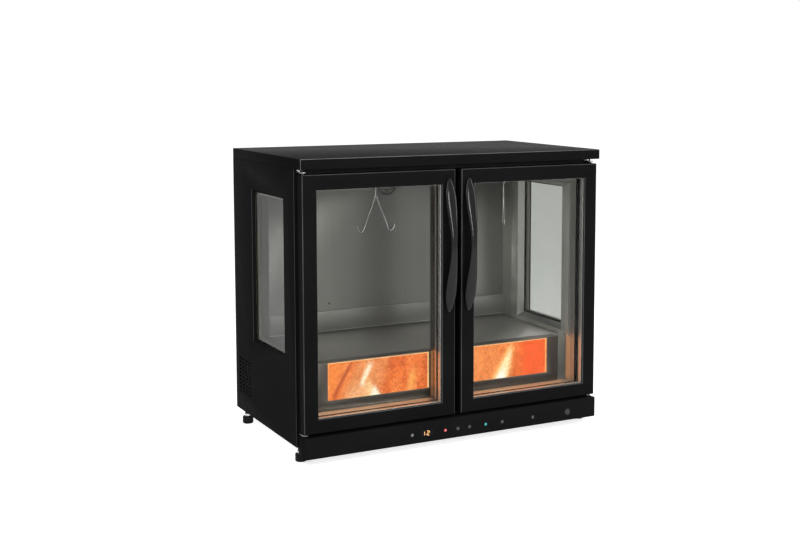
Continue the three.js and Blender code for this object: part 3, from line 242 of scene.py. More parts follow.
def pipe(name: str, stops: Sequence[Sequence[float]], radius: float, closed: bool = False) -> Piece:
    """Model a bent wire or pipe along smooth stops.

    Args:
        name: The new piece's name.
        stops: The places in millimetres that it passes.
        radius: Its radius.
        closed: Whether its ends meet.

    Returns:
        The new piece, as a mesh.
    """
    deselect()
    curve = bpy.data.curves.new(name, "CURVE")
    curve.dimensions = "3D"
    curve.bevel_depth = radius * METRES
    curve.bevel_resolution = 3
    curve.resolution_u = 8
    curve.use_fill_caps = True
    line = curve.splines.new("BEZIER")
    line.bezier_points.add(len(stops) - 1)
    line.use_cyclic_u = closed
    for point, stop in zip(line.bezier_points, stops):
        point.co = spot(*stop)
        point.handle_left_type = point.handle_right_type = "AUTO"
    piece = bpy.data.objects.new(name, curve)
    bpy.context.scene.collection.objects.link(piece)
    pick_up(piece)
    bpy.ops.object.convert(target="MESH")
    return smooth(bpy.context.object)


def mirrored(
    side: str, low: Sequence[float], high: Sequence[float]
) -> tuple[Place, Place]:
    """Give the corners of a box of the right side on the named side."""
    if SIDES[side] > 0:
        return tuple(low), tuple(high)
    return (-high[0], low[1], low[2]), (-low[0], high[1], high[2])


def joined(name: str, parts: Sequence[Piece]) -> Piece:
    """Join several meshes into one piece and return it."""
    pick_up(*parts)
    if len(parts) > 1:
        bpy.ops.object.join()
    piece = bpy.context.object
    piece.name = piece.data.name = name
    return piece


def copied(piece: Piece, shift: Sequence[float]) -> Piece:
    """Copy a piece with its own mesh, moved by millimetres."""
    mesh = piece.data.copy()
    mesh.transform(Matrix.Translation(spot(*shift)))
    copy = bpy.data.objects.new(piece.name + "_copy", mesh)
    bpy.context.scene.collection.objects.link(copy)
    return copy


def refined(
    node: str,
    name: str,
    bevel: float,
    segments: int = 2,
    shortest: float = 0.0,
    least_angle: float = 42,
    fold: Callable[[Vector], bool] | None = None,
) -> Piece:
    """Finish a copy of a CAD node by hand: welded, its flats cleaned and its sharp edges rounded.

    Args:
        node: The CAD node that is copied.
        name: The new piece's name.
        bevel: How far its sharp edges are rounded, in millimetres.
        segments: Steps in that rounding.
        shortest: Edges shorter than this stay as they are, in millimetres.
        least_angle: Edges flatter than this many degrees stay as they are.
        fold: Says by its normal whether a rounded face takes the piece's second finish, a painted highlight.

    Returns:
        The new piece.
    """
    deselect()
    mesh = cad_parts[node].data.copy()
    mesh.materials.clear()
    piece = bpy.data.objects.new(name, mesh)
    bpy.context.scene.collection.objects.link(piece)
    with editing(piece, "EDGE"):
        bpy.ops.mesh.select_all(action="SELECT")
        bpy.ops.mesh.remove_doubles(threshold=WELD * METRES)
        bpy.ops.mesh.dissolve_limited(angle_limit=math.radians(FLAT))
        bpy.ops.mesh.select_all(action="DESELECT")
        if bevel:
            turn = math.radians(least_angle)
            choose(
                piece,
                lambda edge: edge.calc_face_angle(0) > turn and edge.calc_length() > shortest * METRES,
                "EDGE",
            )
            bevel_edges(bevel, segments)
            if fold is not None:
                LOG.info("%s: %d bright folds", name, mark_folds(piece, fold))
    return smooth(piece)


def mark(piece: Piece, wanted: Callable[[Any], bool]) -> None:
    """Give the faces of a piece that pass a test its second finish."""
    with editing(piece):
        LOG.info("%s: %d faces in the second finish", piece.name, choose(piece, wanted))
        mark_folds(piece, lambda normal: True)


def mark_folds(piece: Piece, fold: Callable[[Vector], bool]) -> int:
    """Give the selected faces whose normals pass a test the second finish, and return how many did."""
    mesh = bmesh.from_edit_mesh(piece.data)
    chosen = [face for face in mesh.faces if face.select and fold(face.normal)]
    for face in chosen:
        face.material_index = 1
    bmesh.update_edit_mesh(piece.data)
    return len(chosen)


def looks_inward(face: Any, x: float) -> bool:
    """Say whether a face looks to a side and lies nearer the middle than x, in millimetres."""
    return abs(face.normal.x) > 0.9 and abs(face.calc_center_median().x) < x * METRES


def front_corner(normal: Vector) -> bool:
    """Say whether a rounded edge's face looks ahead and also up or to a side."""
    return -0.97 < normal.y < -0.2 and (normal.z > 0.25 or abs(normal.x) > 0.25)


def long_fold(normal: Vector) -> bool:
    """Say whether a rounded edge's face looks ahead and also up or down."""
    return normal.y < -0.2 and abs(normal.z) > 0.2


# ---------------------------------------------------------------- finishes


class Recipe:
    """The node tree of one finish, or of the world, put together step by step."""

    def __init__(self, made: Any, output: str = "OutputMaterial") -> None:
        """Empty the tree of a new material or world, and give it its output."""
        self.made = made
        self.made.use_nodes = True
        self.tree = made.node_tree
        self.tree.nodes.clear()
        self.output = self.add(output, {})

    @classmethod
    def finish(cls, name: str) -> "Recipe":
        """Start a material with its Object coordinates at hand."""
        recipe = cls(bpy.data.materials.new(name))
        recipe.place = recipe.add("TexCoord", {}).outputs["Object"]
        return recipe

    def add(self, kind: str, inputs: dict[Any, Any], **settings: Any) -> bpy.types.Node:
        """Add one node.

        Args:
            kind: Its type, without the leading ShaderNode.
            inputs: Values or sockets by input name or number.
            settings: Its own properties.

        Returns:
            The node.
        """
        node = self.tree.nodes.new("ShaderNode" + kind)
        for key, value in settings.items():
            setattr(node, key, value)
        for key, value in inputs.items():
            if isinstance(value, Socket):
                self.tree.links.new(value, node.inputs[key])
            else:
                node.inputs[key].default_value = value
        return node

    def noise(
        self, scale: float, detail: float = 3, stretch: Place = (1, 1, 1), warp: float = 0
    ) -> Socket:
        """Give a noise of the surface's place, stretched along each axis."""
        mapped = self.add("Mapping", {"Vector": self.place, "Scale": stretch})
        inputs = {"Vector": mapped.outputs[0], "Scale": scale, "Detail": detail, "Distortion": warp}
        return self.add("TexNoise", inputs).outputs[0]

    def between(
        self, factor: Socket, low: float, high: float, start: float = 0.3, stop: float = 0.7
    ) -> Socket:
        """Spread a factor's middle range between two numbers."""
        inputs = {"Value": factor, "From Min": start, "From Max": stop, "To Min": low, "To Max": high}
        return self.add("MapRange", inputs).outputs[0]

    def rays(self, *kinds: str) -> Socket:
        """Give 1 on the named kinds of rays and 0 on all others."""
        paths = self.add("LightPath", {}).outputs
        seen = paths[kinds[0]]
        for kind in kinds[1:]:
            seen = self.maths("MAXIMUM", seen, paths[kind])
        return seen

    def maths(self, operation: str, a: Any, b: Any = 0.0) -> Socket:
        """Join two numbers by one operation."""
        return self.add("Math", {0: a, 1: b}, operation=operation).outputs[0]

    def weighed(self, first: Socket, share: float, second: Socket, rest: float) -> Socket:
        """Add two numbers, each times its share."""
        return self.maths("ADD", self.maths("MULTIPLY", first, share), self.maths("MULTIPLY", second, rest))

    def ramp(self, factor: Socket, stops: Sequence[tuple[float, Colour]]) -> Socket:
        """Colour a factor by stops."""
        node = self.add("ValToRGB", {"Fac": factor})
        elements = node.color_ramp.elements
        while len(elements) < len(stops):
            elements.new(0.5)
        for element, (place, colour) in zip(elements, stops):
            element.position = place
            element.color = (*colour, 1)
        return node.outputs[0]

    def mixed(self, factor: Any, first: Any, second: Any) -> Socket:
        """Mix two colours, each a socket or three numbers."""
        inputs = {
            0: factor,
            6: first if isinstance(first, Socket) else (*first, 1),
            7: second if isinstance(second, Socket) else (*second, 1),
        }
        return self.add("Mix", inputs, data_type="RGBA").outputs[2]

    def bump(self, height: Socket, strength: float, distance: float) -> Socket:
        """Raise the surface by a height, over a distance in millimetres."""
        inputs = {"Height": height, "Strength": strength, "Distance": distance * METRES}
        return self.add("Bump", inputs).outputs[0]

    def axis(self, number: int) -> Socket:
        """Give the surface's X, Y or Z place in metres."""
        return self.add("SeparateXYZ", {"Vector": self.place}).outputs[number]

    def streak(self, streak: "Streak") -> Socket:
        """Give 1 along a slanted streak seen from the front, falling to 0 at its sides and ends."""
        (foot_x, foot_z), (tip_x, tip_z) = streak.foot, streak.tip
        rise = {"Value": self.axis(2), "From Min": foot_z * METRES, "From Max": tip_z * METRES}
        along = self.add("MapRange", rise).outputs[0]
        centre = self.between(along, foot_x * METRES, tip_x * METRES, 0, 1)
        half = self.between(along, streak.widths[0] * METRES, streak.widths[1] * METRES, 0, 1)
        off = self.maths("ABSOLUTE", self.maths("SUBTRACT", self.axis(0), centre))
        sides = {"Value": self.maths("DIVIDE", off, half), "From Min": streak.core, "From Max": 1.0}
        across = self.add("MapRange", {**sides, "To Min": 1.0, "To Max": 0.0}, interpolation_type="SMOOTHSTEP")
        over = streak.fade * METRES
        lower = {"Value": self.axis(2), "From Min": foot_z * METRES - over, "From Max": foot_z * METRES}
        upper = {"Value": self.axis(2), "From Min": tip_z * METRES + over, "From Max": tip_z * METRES - over}
        ends = [self.add("MapRange", end, interpolation_type="SMOOTHSTEP").outputs[0] for end in (lower, upper)]
        return self.maths("MULTIPLY", self.maths("MULTIPLY", ends[0], ends[1]), across.outputs[0])

    def surface(self, inputs: dict[str, Any]) -> bpy.types.Material:
        """Close the recipe with one Principled shader and return its material."""
        for key in ("Base Color", "Emission Color", "Specular Tint"):
            if key in inputs and not isinstance(inputs[key], Socket):
                inputs[key] = (*inputs[key], 1)
        return self.close(self.add("BsdfPrincipled", inputs))

    def close(self, shader: bpy.types.Node) -> Any:
        """Link the last shader to the output and return the material or world."""
        self.tree.links.new(shader.outputs[0], self.output.inputs["Surface"])
        return self.made


@dataclass(frozen=True)
class Finish:
    """What the finishes share: a name, and a material made from the shader inputs that each gives."""

    name: str

    def inputs(self, recipe: Recipe) -> dict[str, Any]:
        """Give the Principled shader's inputs, made in the recipe."""
        raise NotImplementedError

    def material(self) -> bpy.types.Material:
        """Build the finish and return it."""
        recipe = Recipe.finish(self.name)
        return recipe.surface(self.inputs(recipe))


@dataclass(frozen=True)
class Coating(Finish):
    """Paint, plastic or rubber: a mottled colour, an uneven gloss and a fine texture.

    index is low on matt coats, which mirror little at any angle. Where a top colour is given, faces above a set
    height are lighter: painted sheen on a top face.
    """

    dark: Colour
    light: Colour
    roughness: Pair = (0.4, 0.5)
    grain: float = 900
    bump_strength: float = 0.12
    bump_height: float = 0.05
    index: float = 1.15
    coat: float = 0.0
    top_sheen: Colour | None = None
    top_sheen_height: float = 0.0

    def inputs(self, recipe: Recipe) -> dict[str, Any]:
        """Give the shader inputs."""
        fine = recipe.noise(self.grain, 4)
        broad = recipe.noise(7, 4, warp=0.4)
        handled = recipe.noise(38, 5)
        colour = recipe.ramp(broad, ((0.35, self.dark), (0.65, self.light)))
        # Painted sheen: above the set height the colour turns to the lighter top colour.
        if self.top_sheen is not None:
            level = self.top_sheen_height * METRES
            top_faces = recipe.between(recipe.axis(2), 0, 1, level - 0.4 * METRES, level)
            worn = recipe.ramp(handled, ((0.35, tuple(part * 0.9 for part in self.top_sheen)), (0.65, self.top_sheen)))
            colour = recipe.mixed(top_faces, colour, worn)
        gloss = recipe.maths("ADD", recipe.between(handled, *self.roughness), recipe.between(fine, -0.03, 0.03))
        return {
            "Base Color": colour,
            "Roughness": gloss,
            "IOR": self.index,
            "Coat Weight": self.coat,
            "Coat Roughness": 0.08,
            "Normal": recipe.bump(fine, self.bump_strength, self.bump_height),
        }


@dataclass(frozen=True)
class BrushedSheet(Finish):
    """Rolled or brushed metal with its grain along one axis, faint stains and polished handling marks."""

    dark: Colour
    light: Colour
    grain: Place = (260, 260, 5)
    roughness: Pair = (0.26, 0.42)
    bump_strength: float = 0.16
    metallic: float = 1.0

    def inputs(self, recipe: Recipe) -> dict[str, Any]:
        """Give the shader inputs."""
        lines = recipe.noise(1.6, 3, self.grain)
        stain = recipe.noise(5, 4, warp=0.6)
        tone = recipe.weighed(lines, 0.55, stain, 0.45)
        return {
            "Base Color": recipe.ramp(tone, ((0.32, self.dark), (0.68, self.light))),
            "Metallic": self.metallic,
            "Roughness": recipe.between(tone, *self.roughness),
            "Normal": recipe.bump(lines, self.bump_strength, 0.04),
        }


@dataclass(frozen=True)
class PlatedMetal(Finish):
    """Zinc, chromate or drawn copper: crystals or draw marks over a bright metal."""

    dark: Colour
    light: Colour
    crystal: float = 180
    roughness: Pair = (0.22, 0.4)

    def inputs(self, recipe: Recipe) -> dict[str, Any]:
        """Give the shader inputs."""
        cells = recipe.add("TexVoronoi", {"Vector": recipe.place, "Scale": self.crystal})
        shade = recipe.add("SeparateXYZ", {"Vector": cells.outputs["Color"]}).outputs[0]
        wear = recipe.noise(60, 4)
        tone = recipe.weighed(shade, 0.5, wear, 0.5)
        return {
            "Base Color": recipe.ramp(tone, ((0.2, self.dark), (0.75, self.light))),
            "Metallic": 1.0,
            "Roughness": recipe.between(tone, *self.roughness),
            "Normal": recipe.bump(wear, 0.1, 0.05),
        }


@dataclass(frozen=True)
class Pane(Finish):
    """Clear glass with faint wiping marks. The rays of lamps pass it straight, so they reach what is behind it.

    Rays that metal behind the pane mirrors pass it at a set share, darker than its tint: painted shade on those
    reflections.
    """

    tint: Colour
    wiped: Colour
    reflection_share: float
    index: float = 1.14
    sheen_share: float = 0.9

    def material(self) -> bpy.types.Material:
        """Build the finish and return it."""
        recipe = Recipe.finish(self.name)
        marks = recipe.noise(9, 4, (1, 1, 0.35), warp=1.2)
        colour = recipe.ramp(marks, ((0.4, self.tint), (0.7, self.wiped)))
        glass = recipe.add(
            "BsdfPrincipled",
            {
                "Base Color": colour,
                "Roughness": 0.0,
                "Transmission Weight": 1.0,
                "IOR": self.index,
                "Specular Tint": (self.sheen_share,) * 3 + (1,),
            },
        )
        # Painted shade: glossy rays pass only a set share, so metal behind the pane mirrors the outside darker.
        passed = recipe.mixed(recipe.rays("Is Glossy Ray"), colour, (self.reflection_share,) * 3)
        clear = recipe.add("BsdfTransparent", {"Color": passed})
        looked = recipe.rays("Is Camera Ray", "Is Transmission Ray")
        both = recipe.add("MixShader", {0: looked, 1: clear.outputs[0], 2: glass.outputs[0]})
        return recipe.close(both)


@dataclass(frozen=True)
class Streak:
    """A slanted band in the salt, from its foot up to its tip, as (x, z) in millimetres.

    widths are half widths at the foot and the tip, core is the share of them at full strength, and fade is how
    far its ends run out.
    """

    foot: Pair
    tip: Pair
    widths: Pair
    colour: Colour
    share: float = 1.0
    core: float = 0.3
    fade: float = 14.0


@dataclass(frozen=True)
class SaltBlock(Finish):
    """Rock salt lit from behind: fine grain, cloudy beds, slanted bands, and hot spots at its lamps."""

    deep: Colour = (0.62, 0.105, 0.022)
    body: Colour = (0.80, 0.165, 0.034)
    pale: Colour = (0.92, 0.30, 0.075)
    glow: float = 1.02
    bands: tuple[Streak, ...] = ()

    def inputs(self, recipe: Recipe) -> dict[str, Any]:
        """Give the shader inputs."""
        grain = recipe.noise(210, 5)
        clouds = recipe.noise(15, 5, (1, 1, 0.7), warp=0.5)
        mottle = recipe.weighed(clouds, 0.58, grain, 0.42)
        colour = recipe.ramp(mottle, ((0.38, self.deep), (0.5, self.body), (0.64, self.pale)))
        ragged = recipe.between(recipe.maths("ADD", clouds, grain), 0.72, 1.12, 0.8, 1.2)
        for band in self.bands:
            weight = recipe.maths("MULTIPLY", recipe.streak(band), recipe.maths("MULTIPLY", ragged, band.share))
            colour = recipe.mixed(recipe.maths("MINIMUM", weight, 1.0), colour, band.colour)
        strength = recipe.between(grain, self.glow * 0.84, self.glow * 1.14)
        return {
            "Base Color": recipe.mixed(0.78, colour, (0.03, 0.01, 0.005)),
            "Roughness": recipe.between(grain, 0.45, 0.75),
            "IOR": 1.12,
            "Emission Color": colour,
            "Emission Strength": strength,
            "Normal": recipe.bump(recipe.maths("ADD", grain, clouds), 0.35, 0.6),
        }


@dataclass(frozen=True)
class Diffuser(Finish):
    """A lamp's frosted cover with its light-emitting diodes a pitch apart behind it."""

    colour: Colour
    strength: float
    pitch: float = 24

    def inputs(self, recipe: Recipe) -> dict[str, Any]:
        """Give the shader inputs."""
        wave = recipe.maths("SINE", recipe.maths("MULTIPLY", recipe.axis(0), math.tau / (self.pitch * METRES)))
        spots = recipe.between(wave, self.strength * 0.6, self.strength * 1.25, -1, 1)
        frost = recipe.noise(700, 3)
        return {
            "Base Color": recipe.ramp(frost, ((0.3, (0.8, 0.8, 0.78)), (0.7, (0.9, 0.9, 0.88)))),
            "Roughness": recipe.between(frost, 0.4, 0.6),
            "Emission Color": self.colour,
            "Emission Strength": spots,
            "Normal": recipe.bump(frost, 0.2, 0.1),
        }


@dataclass(frozen=True)
class Lens(Finish):
    """A small moulded lens or digit, lit from behind. Where edge is set, the second colour takes over there."""

    colour: Colour
    strength: float
    second: Colour | None = None
    edge: float = 0.0

    def inputs(self, recipe: Recipe) -> dict[str, Any]:
        """Give the shader inputs."""
        grain = recipe.noise(1500, 3)
        dim = tuple(part * 0.8 for part in self.colour)
        colour = recipe.ramp(grain, ((0.3, dim), (0.7, self.colour)))
        if self.second is not None:
            past = recipe.maths("GREATER_THAN", recipe.axis(0), self.edge * METRES)
            colour = recipe.mixed(past, colour, self.second)
        return {
            "Base Color": colour,
            "Roughness": recipe.between(grain, 0.15, 0.3),
            "Emission Color": colour,
            "Emission Strength": self.strength,
            "Normal": recipe.bump(grain, 0.05, 0.05),
        }


@dataclass(frozen=True)
class Board(Finish):
    """A printed circuit: green mask with copper tracks under it."""

    name: str = "circuit_board_mask"

    def inputs(self, recipe: Recipe) -> dict[str, Any]:
        """Give the shader inputs."""
        inputs = {"Vector": recipe.place, "Scale": 260.0}
        cells = recipe.add("TexVoronoi", inputs, feature="DISTANCE_TO_EDGE", distance="CHEBYCHEV")
        tracks = recipe.between(cells.outputs["Distance"], 0, 1, 0.06, 0.1)
        return {
            "Base Color": recipe.mixed(tracks, (0.05, 0.22, 0.09), (0.012, 0.09, 0.035)),
            "Roughness": recipe.between(recipe.noise(90), 0.25, 0.4),
            "Normal": recipe.bump(tracks, 0.3, 0.03),
        }


class Shop:
    """Keeps each finish once, made when it is first asked for."""

    BLACK_STEEL = Coating(
        "black_painted_steel", (0.0075, 0.0076, 0.008), (0.009, 0.009, 0.0094), (0.36, 0.44), index=1.02
    )
    REAR_PAINT = Coating(
        "rear_panel_paint", (0.016, 0.0162, 0.0168), (0.022, 0.0222, 0.0228), (0.42, 0.52), index=1.12
    )
    # The worktop's lighter top colour is a painted sheen standing for the top's low-angle reflection.
    WORKTOP = Coating(
        "black_painted_worktop", (0.0062, 0.0063, 0.0066), (0.0074, 0.0074, 0.0078), (0.34, 0.4), index=1.022,
        top_sheen=(0.014, 0.014, 0.0143), top_sheen_height=785.6,
    )
    # The two fold finishes below are lighter copies of their sheets' black, worn on rounded edges: painted
    # highlights.
    FOLD = Coating("painted_highlight_on_folds", (0.05, 0.051, 0.053), (0.11, 0.111, 0.114), (0.26, 0.36), 1400, 0.06, 0.04, 1.3)
    DOOR_FOLD = Coating(
        "painted_soft_highlight_on_folds", (0.032, 0.0325, 0.034), (0.06, 0.061, 0.063), (0.26, 0.36), 1400, 0.06, 0.04, 1.25
    )
    DOOR_FRAME = Coating(
        "black_door_frame", (0.0062, 0.0062, 0.0065), (0.0074, 0.0074, 0.0077), (0.3, 0.38), 1400, 0.08, 0.04, 1.03
    )
    HANDLE = Coating(
        "gloss_black_handle", (0.0035, 0.0034, 0.0036), (0.005, 0.0048, 0.005), (0.12, 0.18), 500, 0.03, 0.05, 1.29
    )
    FAN_PLASTIC = Coating("fan_plastic", (0.36, 0.355, 0.34), (0.42, 0.415, 0.4), (0.5, 0.62))
    BLACK_PLASTIC = Coating("black_plastic", (0.006, 0.006, 0.0065), (0.009, 0.009, 0.0095), (0.5, 0.62))
    JAMB = Coating(
        "jamb_plastic", (0.012, 0.011, 0.0105), (0.017, 0.0155, 0.0145), (0.45, 0.55), 700, 0.1, 0.05, 1.12
    )
    KEY = Coating("key_cap", (0.02, 0.02, 0.022), (0.03, 0.03, 0.033), (0.35, 0.45), 1600, 0.05, 0.03, 1.25)
    MARK = Coating("grey_mark", (0.2, 0.205, 0.21), (0.26, 0.26, 0.265), (0.4, 0.5), 1600, 0.05, 0.03, 1.4)
    LIGHT_MARK = Coating("white_mark", (0.62, 0.63, 0.64), (0.72, 0.72, 0.72), (0.4, 0.5), 1600, 0.05, 0.03, 1.4)
    DIM_MARK = Coating("dim_mark", (0.07, 0.07, 0.072), (0.09, 0.09, 0.092), (0.4, 0.5), 1600, 0.05, 0.03, 1.3)
    RUBBER = Coating("foot_rubber", (0.011, 0.011, 0.011), (0.017, 0.0165, 0.016), (0.7, 0.85), 420, 0.3, 0.12)
    SEAL = Coating("door_seal", (0.01, 0.01, 0.0105), (0.016, 0.016, 0.016), (0.55, 0.7), 600, 0.2, 0.08)
    FOAM = Coating("foam", (0.42, 0.38, 0.29), (0.54, 0.49, 0.38), (0.8, 0.95), 240, 0.8, 0.8, 1.3)
    COMPRESSOR = Coating(
        "compressor_paint", (0.008, 0.008, 0.009), (0.014, 0.014, 0.015), (0.3, 0.45), index=1.4, coat=0.2
    )
    BUTYL = Coating("glass_edge_seal", (0.008, 0.008, 0.008), (0.013, 0.0125, 0.012), (0.5, 0.65), 300, 0.2, 0.1)
    LINER = BrushedSheet(
        "liner_steel", (0.46, 0.46, 0.435), (0.53, 0.53, 0.505), (90, 90, 1.6), (0.3, 0.38), 0.015, 0.8
    )
    # About half as light as the liner steel: painted shade on the chamber's back wall.
    DUCT = BrushedSheet(
        "duct_cover_painted_shade", (0.258, 0.252, 0.24), (0.305, 0.298, 0.284), (90, 90, 1.6), (0.34, 0.42), 0.015, 0.78
    )
    CEILING = BrushedSheet("ceiling_steel", (0.34, 0.345, 0.325), (0.42, 0.425, 0.4), (2, 90, 90), (0.28, 0.4), 0.04)
    STEP = BrushedSheet("step_steel", (0.48, 0.462, 0.43), (0.56, 0.539, 0.5), (2, 90, 90), (0.3, 0.38), 0.02, 0.75)
    REVEAL = BrushedSheet(
        "window_surround_steel", (0.3, 0.302, 0.285), (0.37, 0.372, 0.35), (280, 280, 280), (0.28, 0.36), 0.01, 0.85
    )
    # A lighter copy of the surround steel for the surround's inward-facing border: painted highlight.
    BORDER = BrushedSheet(
        "border_painted_highlight", (0.6, 0.605, 0.57), (0.7, 0.705, 0.665), (280, 280, 280), (0.22, 0.3), 0.01, 0.55
    )
    # A much lighter copy of the liner steel for rounded folds and the hem: painted highlight.
    FOLD_STEEL = BrushedSheet(
        "steel_folds_painted_highlight", (0.8, 0.8, 0.77), (0.9, 0.9, 0.87), (2, 90, 90), (0.25, 0.35), 0.02, 0.5
    )
    LINING = BrushedSheet(
        "jamb_lining", (0.34, 0.325, 0.3), (0.44, 0.42, 0.39), (90, 90, 1.6), (0.28, 0.36), 0.02, 0.7
    )
    # Dark brownish steel: painted shade on the post's sides, tinted by a painted warm glow from the salt.
    POST = BrushedSheet("centre_post_painted_shade", (0.1, 0.086, 0.076), (0.15, 0.13, 0.115), (90, 90, 1.6), (0.24, 0.34), 0.03)
    SALT_FRAME = BrushedSheet(
        "salt_frame_steel", (0.2, 0.175, 0.15), (0.27, 0.24, 0.21), (2, 90, 90), (0.3, 0.42), 0.05
    )
    WIRE = BrushedSheet("stainless_wire", (0.5, 0.5, 0.48), (0.64, 0.64, 0.62), (90, 90, 90), (0.15, 0.28), 0.06)
    SPACER = BrushedSheet(
        "spacer_aluminium", (0.66, 0.65, 0.62), (0.76, 0.75, 0.715), (40, 40, 40), (0.18, 0.28), 0.05, 0.8
    )
    # A dark, warm copy of the spacer aluminium for the side windows: painted shade.
    SIDE_SPACER = BrushedSheet(
        "side_spacer_painted_shade", (0.14, 0.13, 0.115), (0.2, 0.19, 0.165), (40, 40, 40), (0.35, 0.45), 0.05, 0.6
    )
    ZINC = PlatedMetal("zinc_plated_steel", (0.5, 0.5, 0.5), (0.78, 0.78, 0.76))
    HINGE = PlatedMetal("dark_zinc_plated_steel", (0.14, 0.14, 0.145), (0.34, 0.34, 0.34))
    GALVANISED = PlatedMetal("galvanised_sheet", (0.4, 0.41, 0.42), (0.6, 0.61, 0.62), 70, (0.35, 0.5))
    COIL = BrushedSheet("coil_aluminium", (0.5, 0.51, 0.52), (0.68, 0.69, 0.7), (300, 300, 12), (0.3, 0.45))
    COPPER = PlatedMetal("copper_tube", (0.55, 0.24, 0.13), (0.75, 0.36, 0.2), 240, (0.25, 0.42))
    DOOR_GLASS = Pane("insulating_glass", (0.925, 0.932, 0.92), (0.94, 0.94, 0.93), 0.7)
    SIDE_GLASS = Pane("tinted_insulating_glass", (0.635, 0.645, 0.63), (0.65, 0.66, 0.645), 0.93, 1.08, 0.6)
    DIGIT = Lens("amber_digits", (1.0, 0.52, 0.2), 1.1)
    INDICATORS = Lens("indicator_lens", (0.62, 0.09, 0.1), 0.75, (0.02, 0.24, 0.22), 20)
    WINDOW = Coating("display_lens", (0.006, 0.004, 0.004), (0.008, 0.006, 0.006), (0.1, 0.16), 900, 0.02, 0.02, 1.2)
    SALT_LIGHT = Diffuser("salt_lamp_diffuser", (1.0, 0.62, 0.26), 5.0)
    CEILING_LIGHT = Diffuser("ceiling_lamp_diffuser", (1.0, 0.98, 0.92), 1.4)
    BOARD = Board()

    _made: dict[str, bpy.types.Material] = {}

    @classmethod
    def get(cls, finish: Finish) -> bpy.types.Material:
        """Give a finish's material, made once."""
        if finish.name not in cls._made:
            cls._made[finish.name] = finish.material()
        return cls._made[finish.name]


class Slot(Enum):
    """The record's material slots of the new pieces' finishes."""

    STEEL = "black_painted_steel"
    DOOR_FRAME = "black_door_frame"
    LINER = "liner_steel"
    WIRE = "stainless_wire"
    ZINC = "zinc_plated_steel"
    COIL = "coil_aluminium"
    BREAK = "thermal_break"
    RUBBER = "rubber_feet"
    SEAL = "door_seal"
    GLOSS = "gloss_black_plastic"
    PLASTIC = "black_plastic"
    GLASS = "insulating_glass"
    SALT = "salt"
    LAMP = "lamp_diffuser"
    INDICATOR = "indicator_lens"
    KEY = "key_cap"
    COMPRESSOR = "compressor_paint"


def dress(
    piece: Piece,
    finish: Finish,
    body: str = "cabinet",
    stands_for: Sequence[str] = (),
    fold_finish: Finish | None = None,
) -> Piece:
    """Give a finished piece its material and body.

    Args:
        piece: The new piece.
        finish: The finish that it wears.
        body: The CAD body that it moves with.
        stands_for: The CAD nodes that it replaces.
        fold_finish: The second finish, worn by its marked faces: a painted highlight on rounded folds and window
            borders, the lining on the jamb faces.

    Returns:
        The piece.
    """
    for worn in (finish, fold_finish):
        if worn is not None:
            piece.data.materials.append(Shop.get(worn))
    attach(piece, body)
    if stands_for:
        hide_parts(*stands_for)
    LOG.info("%s: %d faces on %s", piece.name, len(piece.data.polygons), body)
    return piece


def rework(
    node: str,
    name: str,
    edges: Edges,
    finish: Finish,
    slot: Slot,
    body: str = "cabinet",
    fold: Callable[[Vector], bool] | None = None,
    fold_finish: Finish | None = None,
) -> None:
    """Finish a copy of a CAD node by hand and dress it in the node's place.

    Args:
        node: The CAD node.
        name: The new piece's name.
        edges: How its edges are rounded.
        finish: The finish that it wears.
        slot: The record's slot of that finish; not used.
        body: The CAD body that it moves with.
        fold: Says by its normal whether a rounded face takes the second finish.
        fold_finish: That second finish, a painted highlight on the rounded faces.
    """
    dress(refined(node, name, *edges, fold=fold), finish, body, [node], fold_finish)


def finish_nodes(finishes: dict[str, Finish]) -> None:
    """Give carried CAD nodes their materials."""
    for node, finish in finishes.items():
        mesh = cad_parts[node].data
        mesh.materials.clear()
        mesh.materials.append(Shop.get(finish))
        LOG.info("%s: CAD node in %s", node, finish.name)


# ---------------------------------------------------------------- studio


def softbox(
    name: str, place: Sequence[float], size: Pair, watts: float, aim: Sequence[float]
) -> Piece:
    """Hang one rectangular soft light.

    Args:
        name: Its name.
        place: Where it hangs, in metres.
        size: Its width and height in metres.
        watts: Its power.
        aim: The place it faces, in metres.

    Returns:
        The lamp.
    """
    deselect()
    bpy.ops.object.light_add(type="AREA", location=place)
    lamp = bpy.context.object
    lamp.name = name
    lamp.data.shape = "RECTANGLE"
    lamp.data.size, lamp.data.size_y = size
    lamp.data.energy = watts
    lamp.rotation_euler = (Vector(aim) - Vector(place)).to_track_quat("-Z", "Y").to_euler()
    return lamp


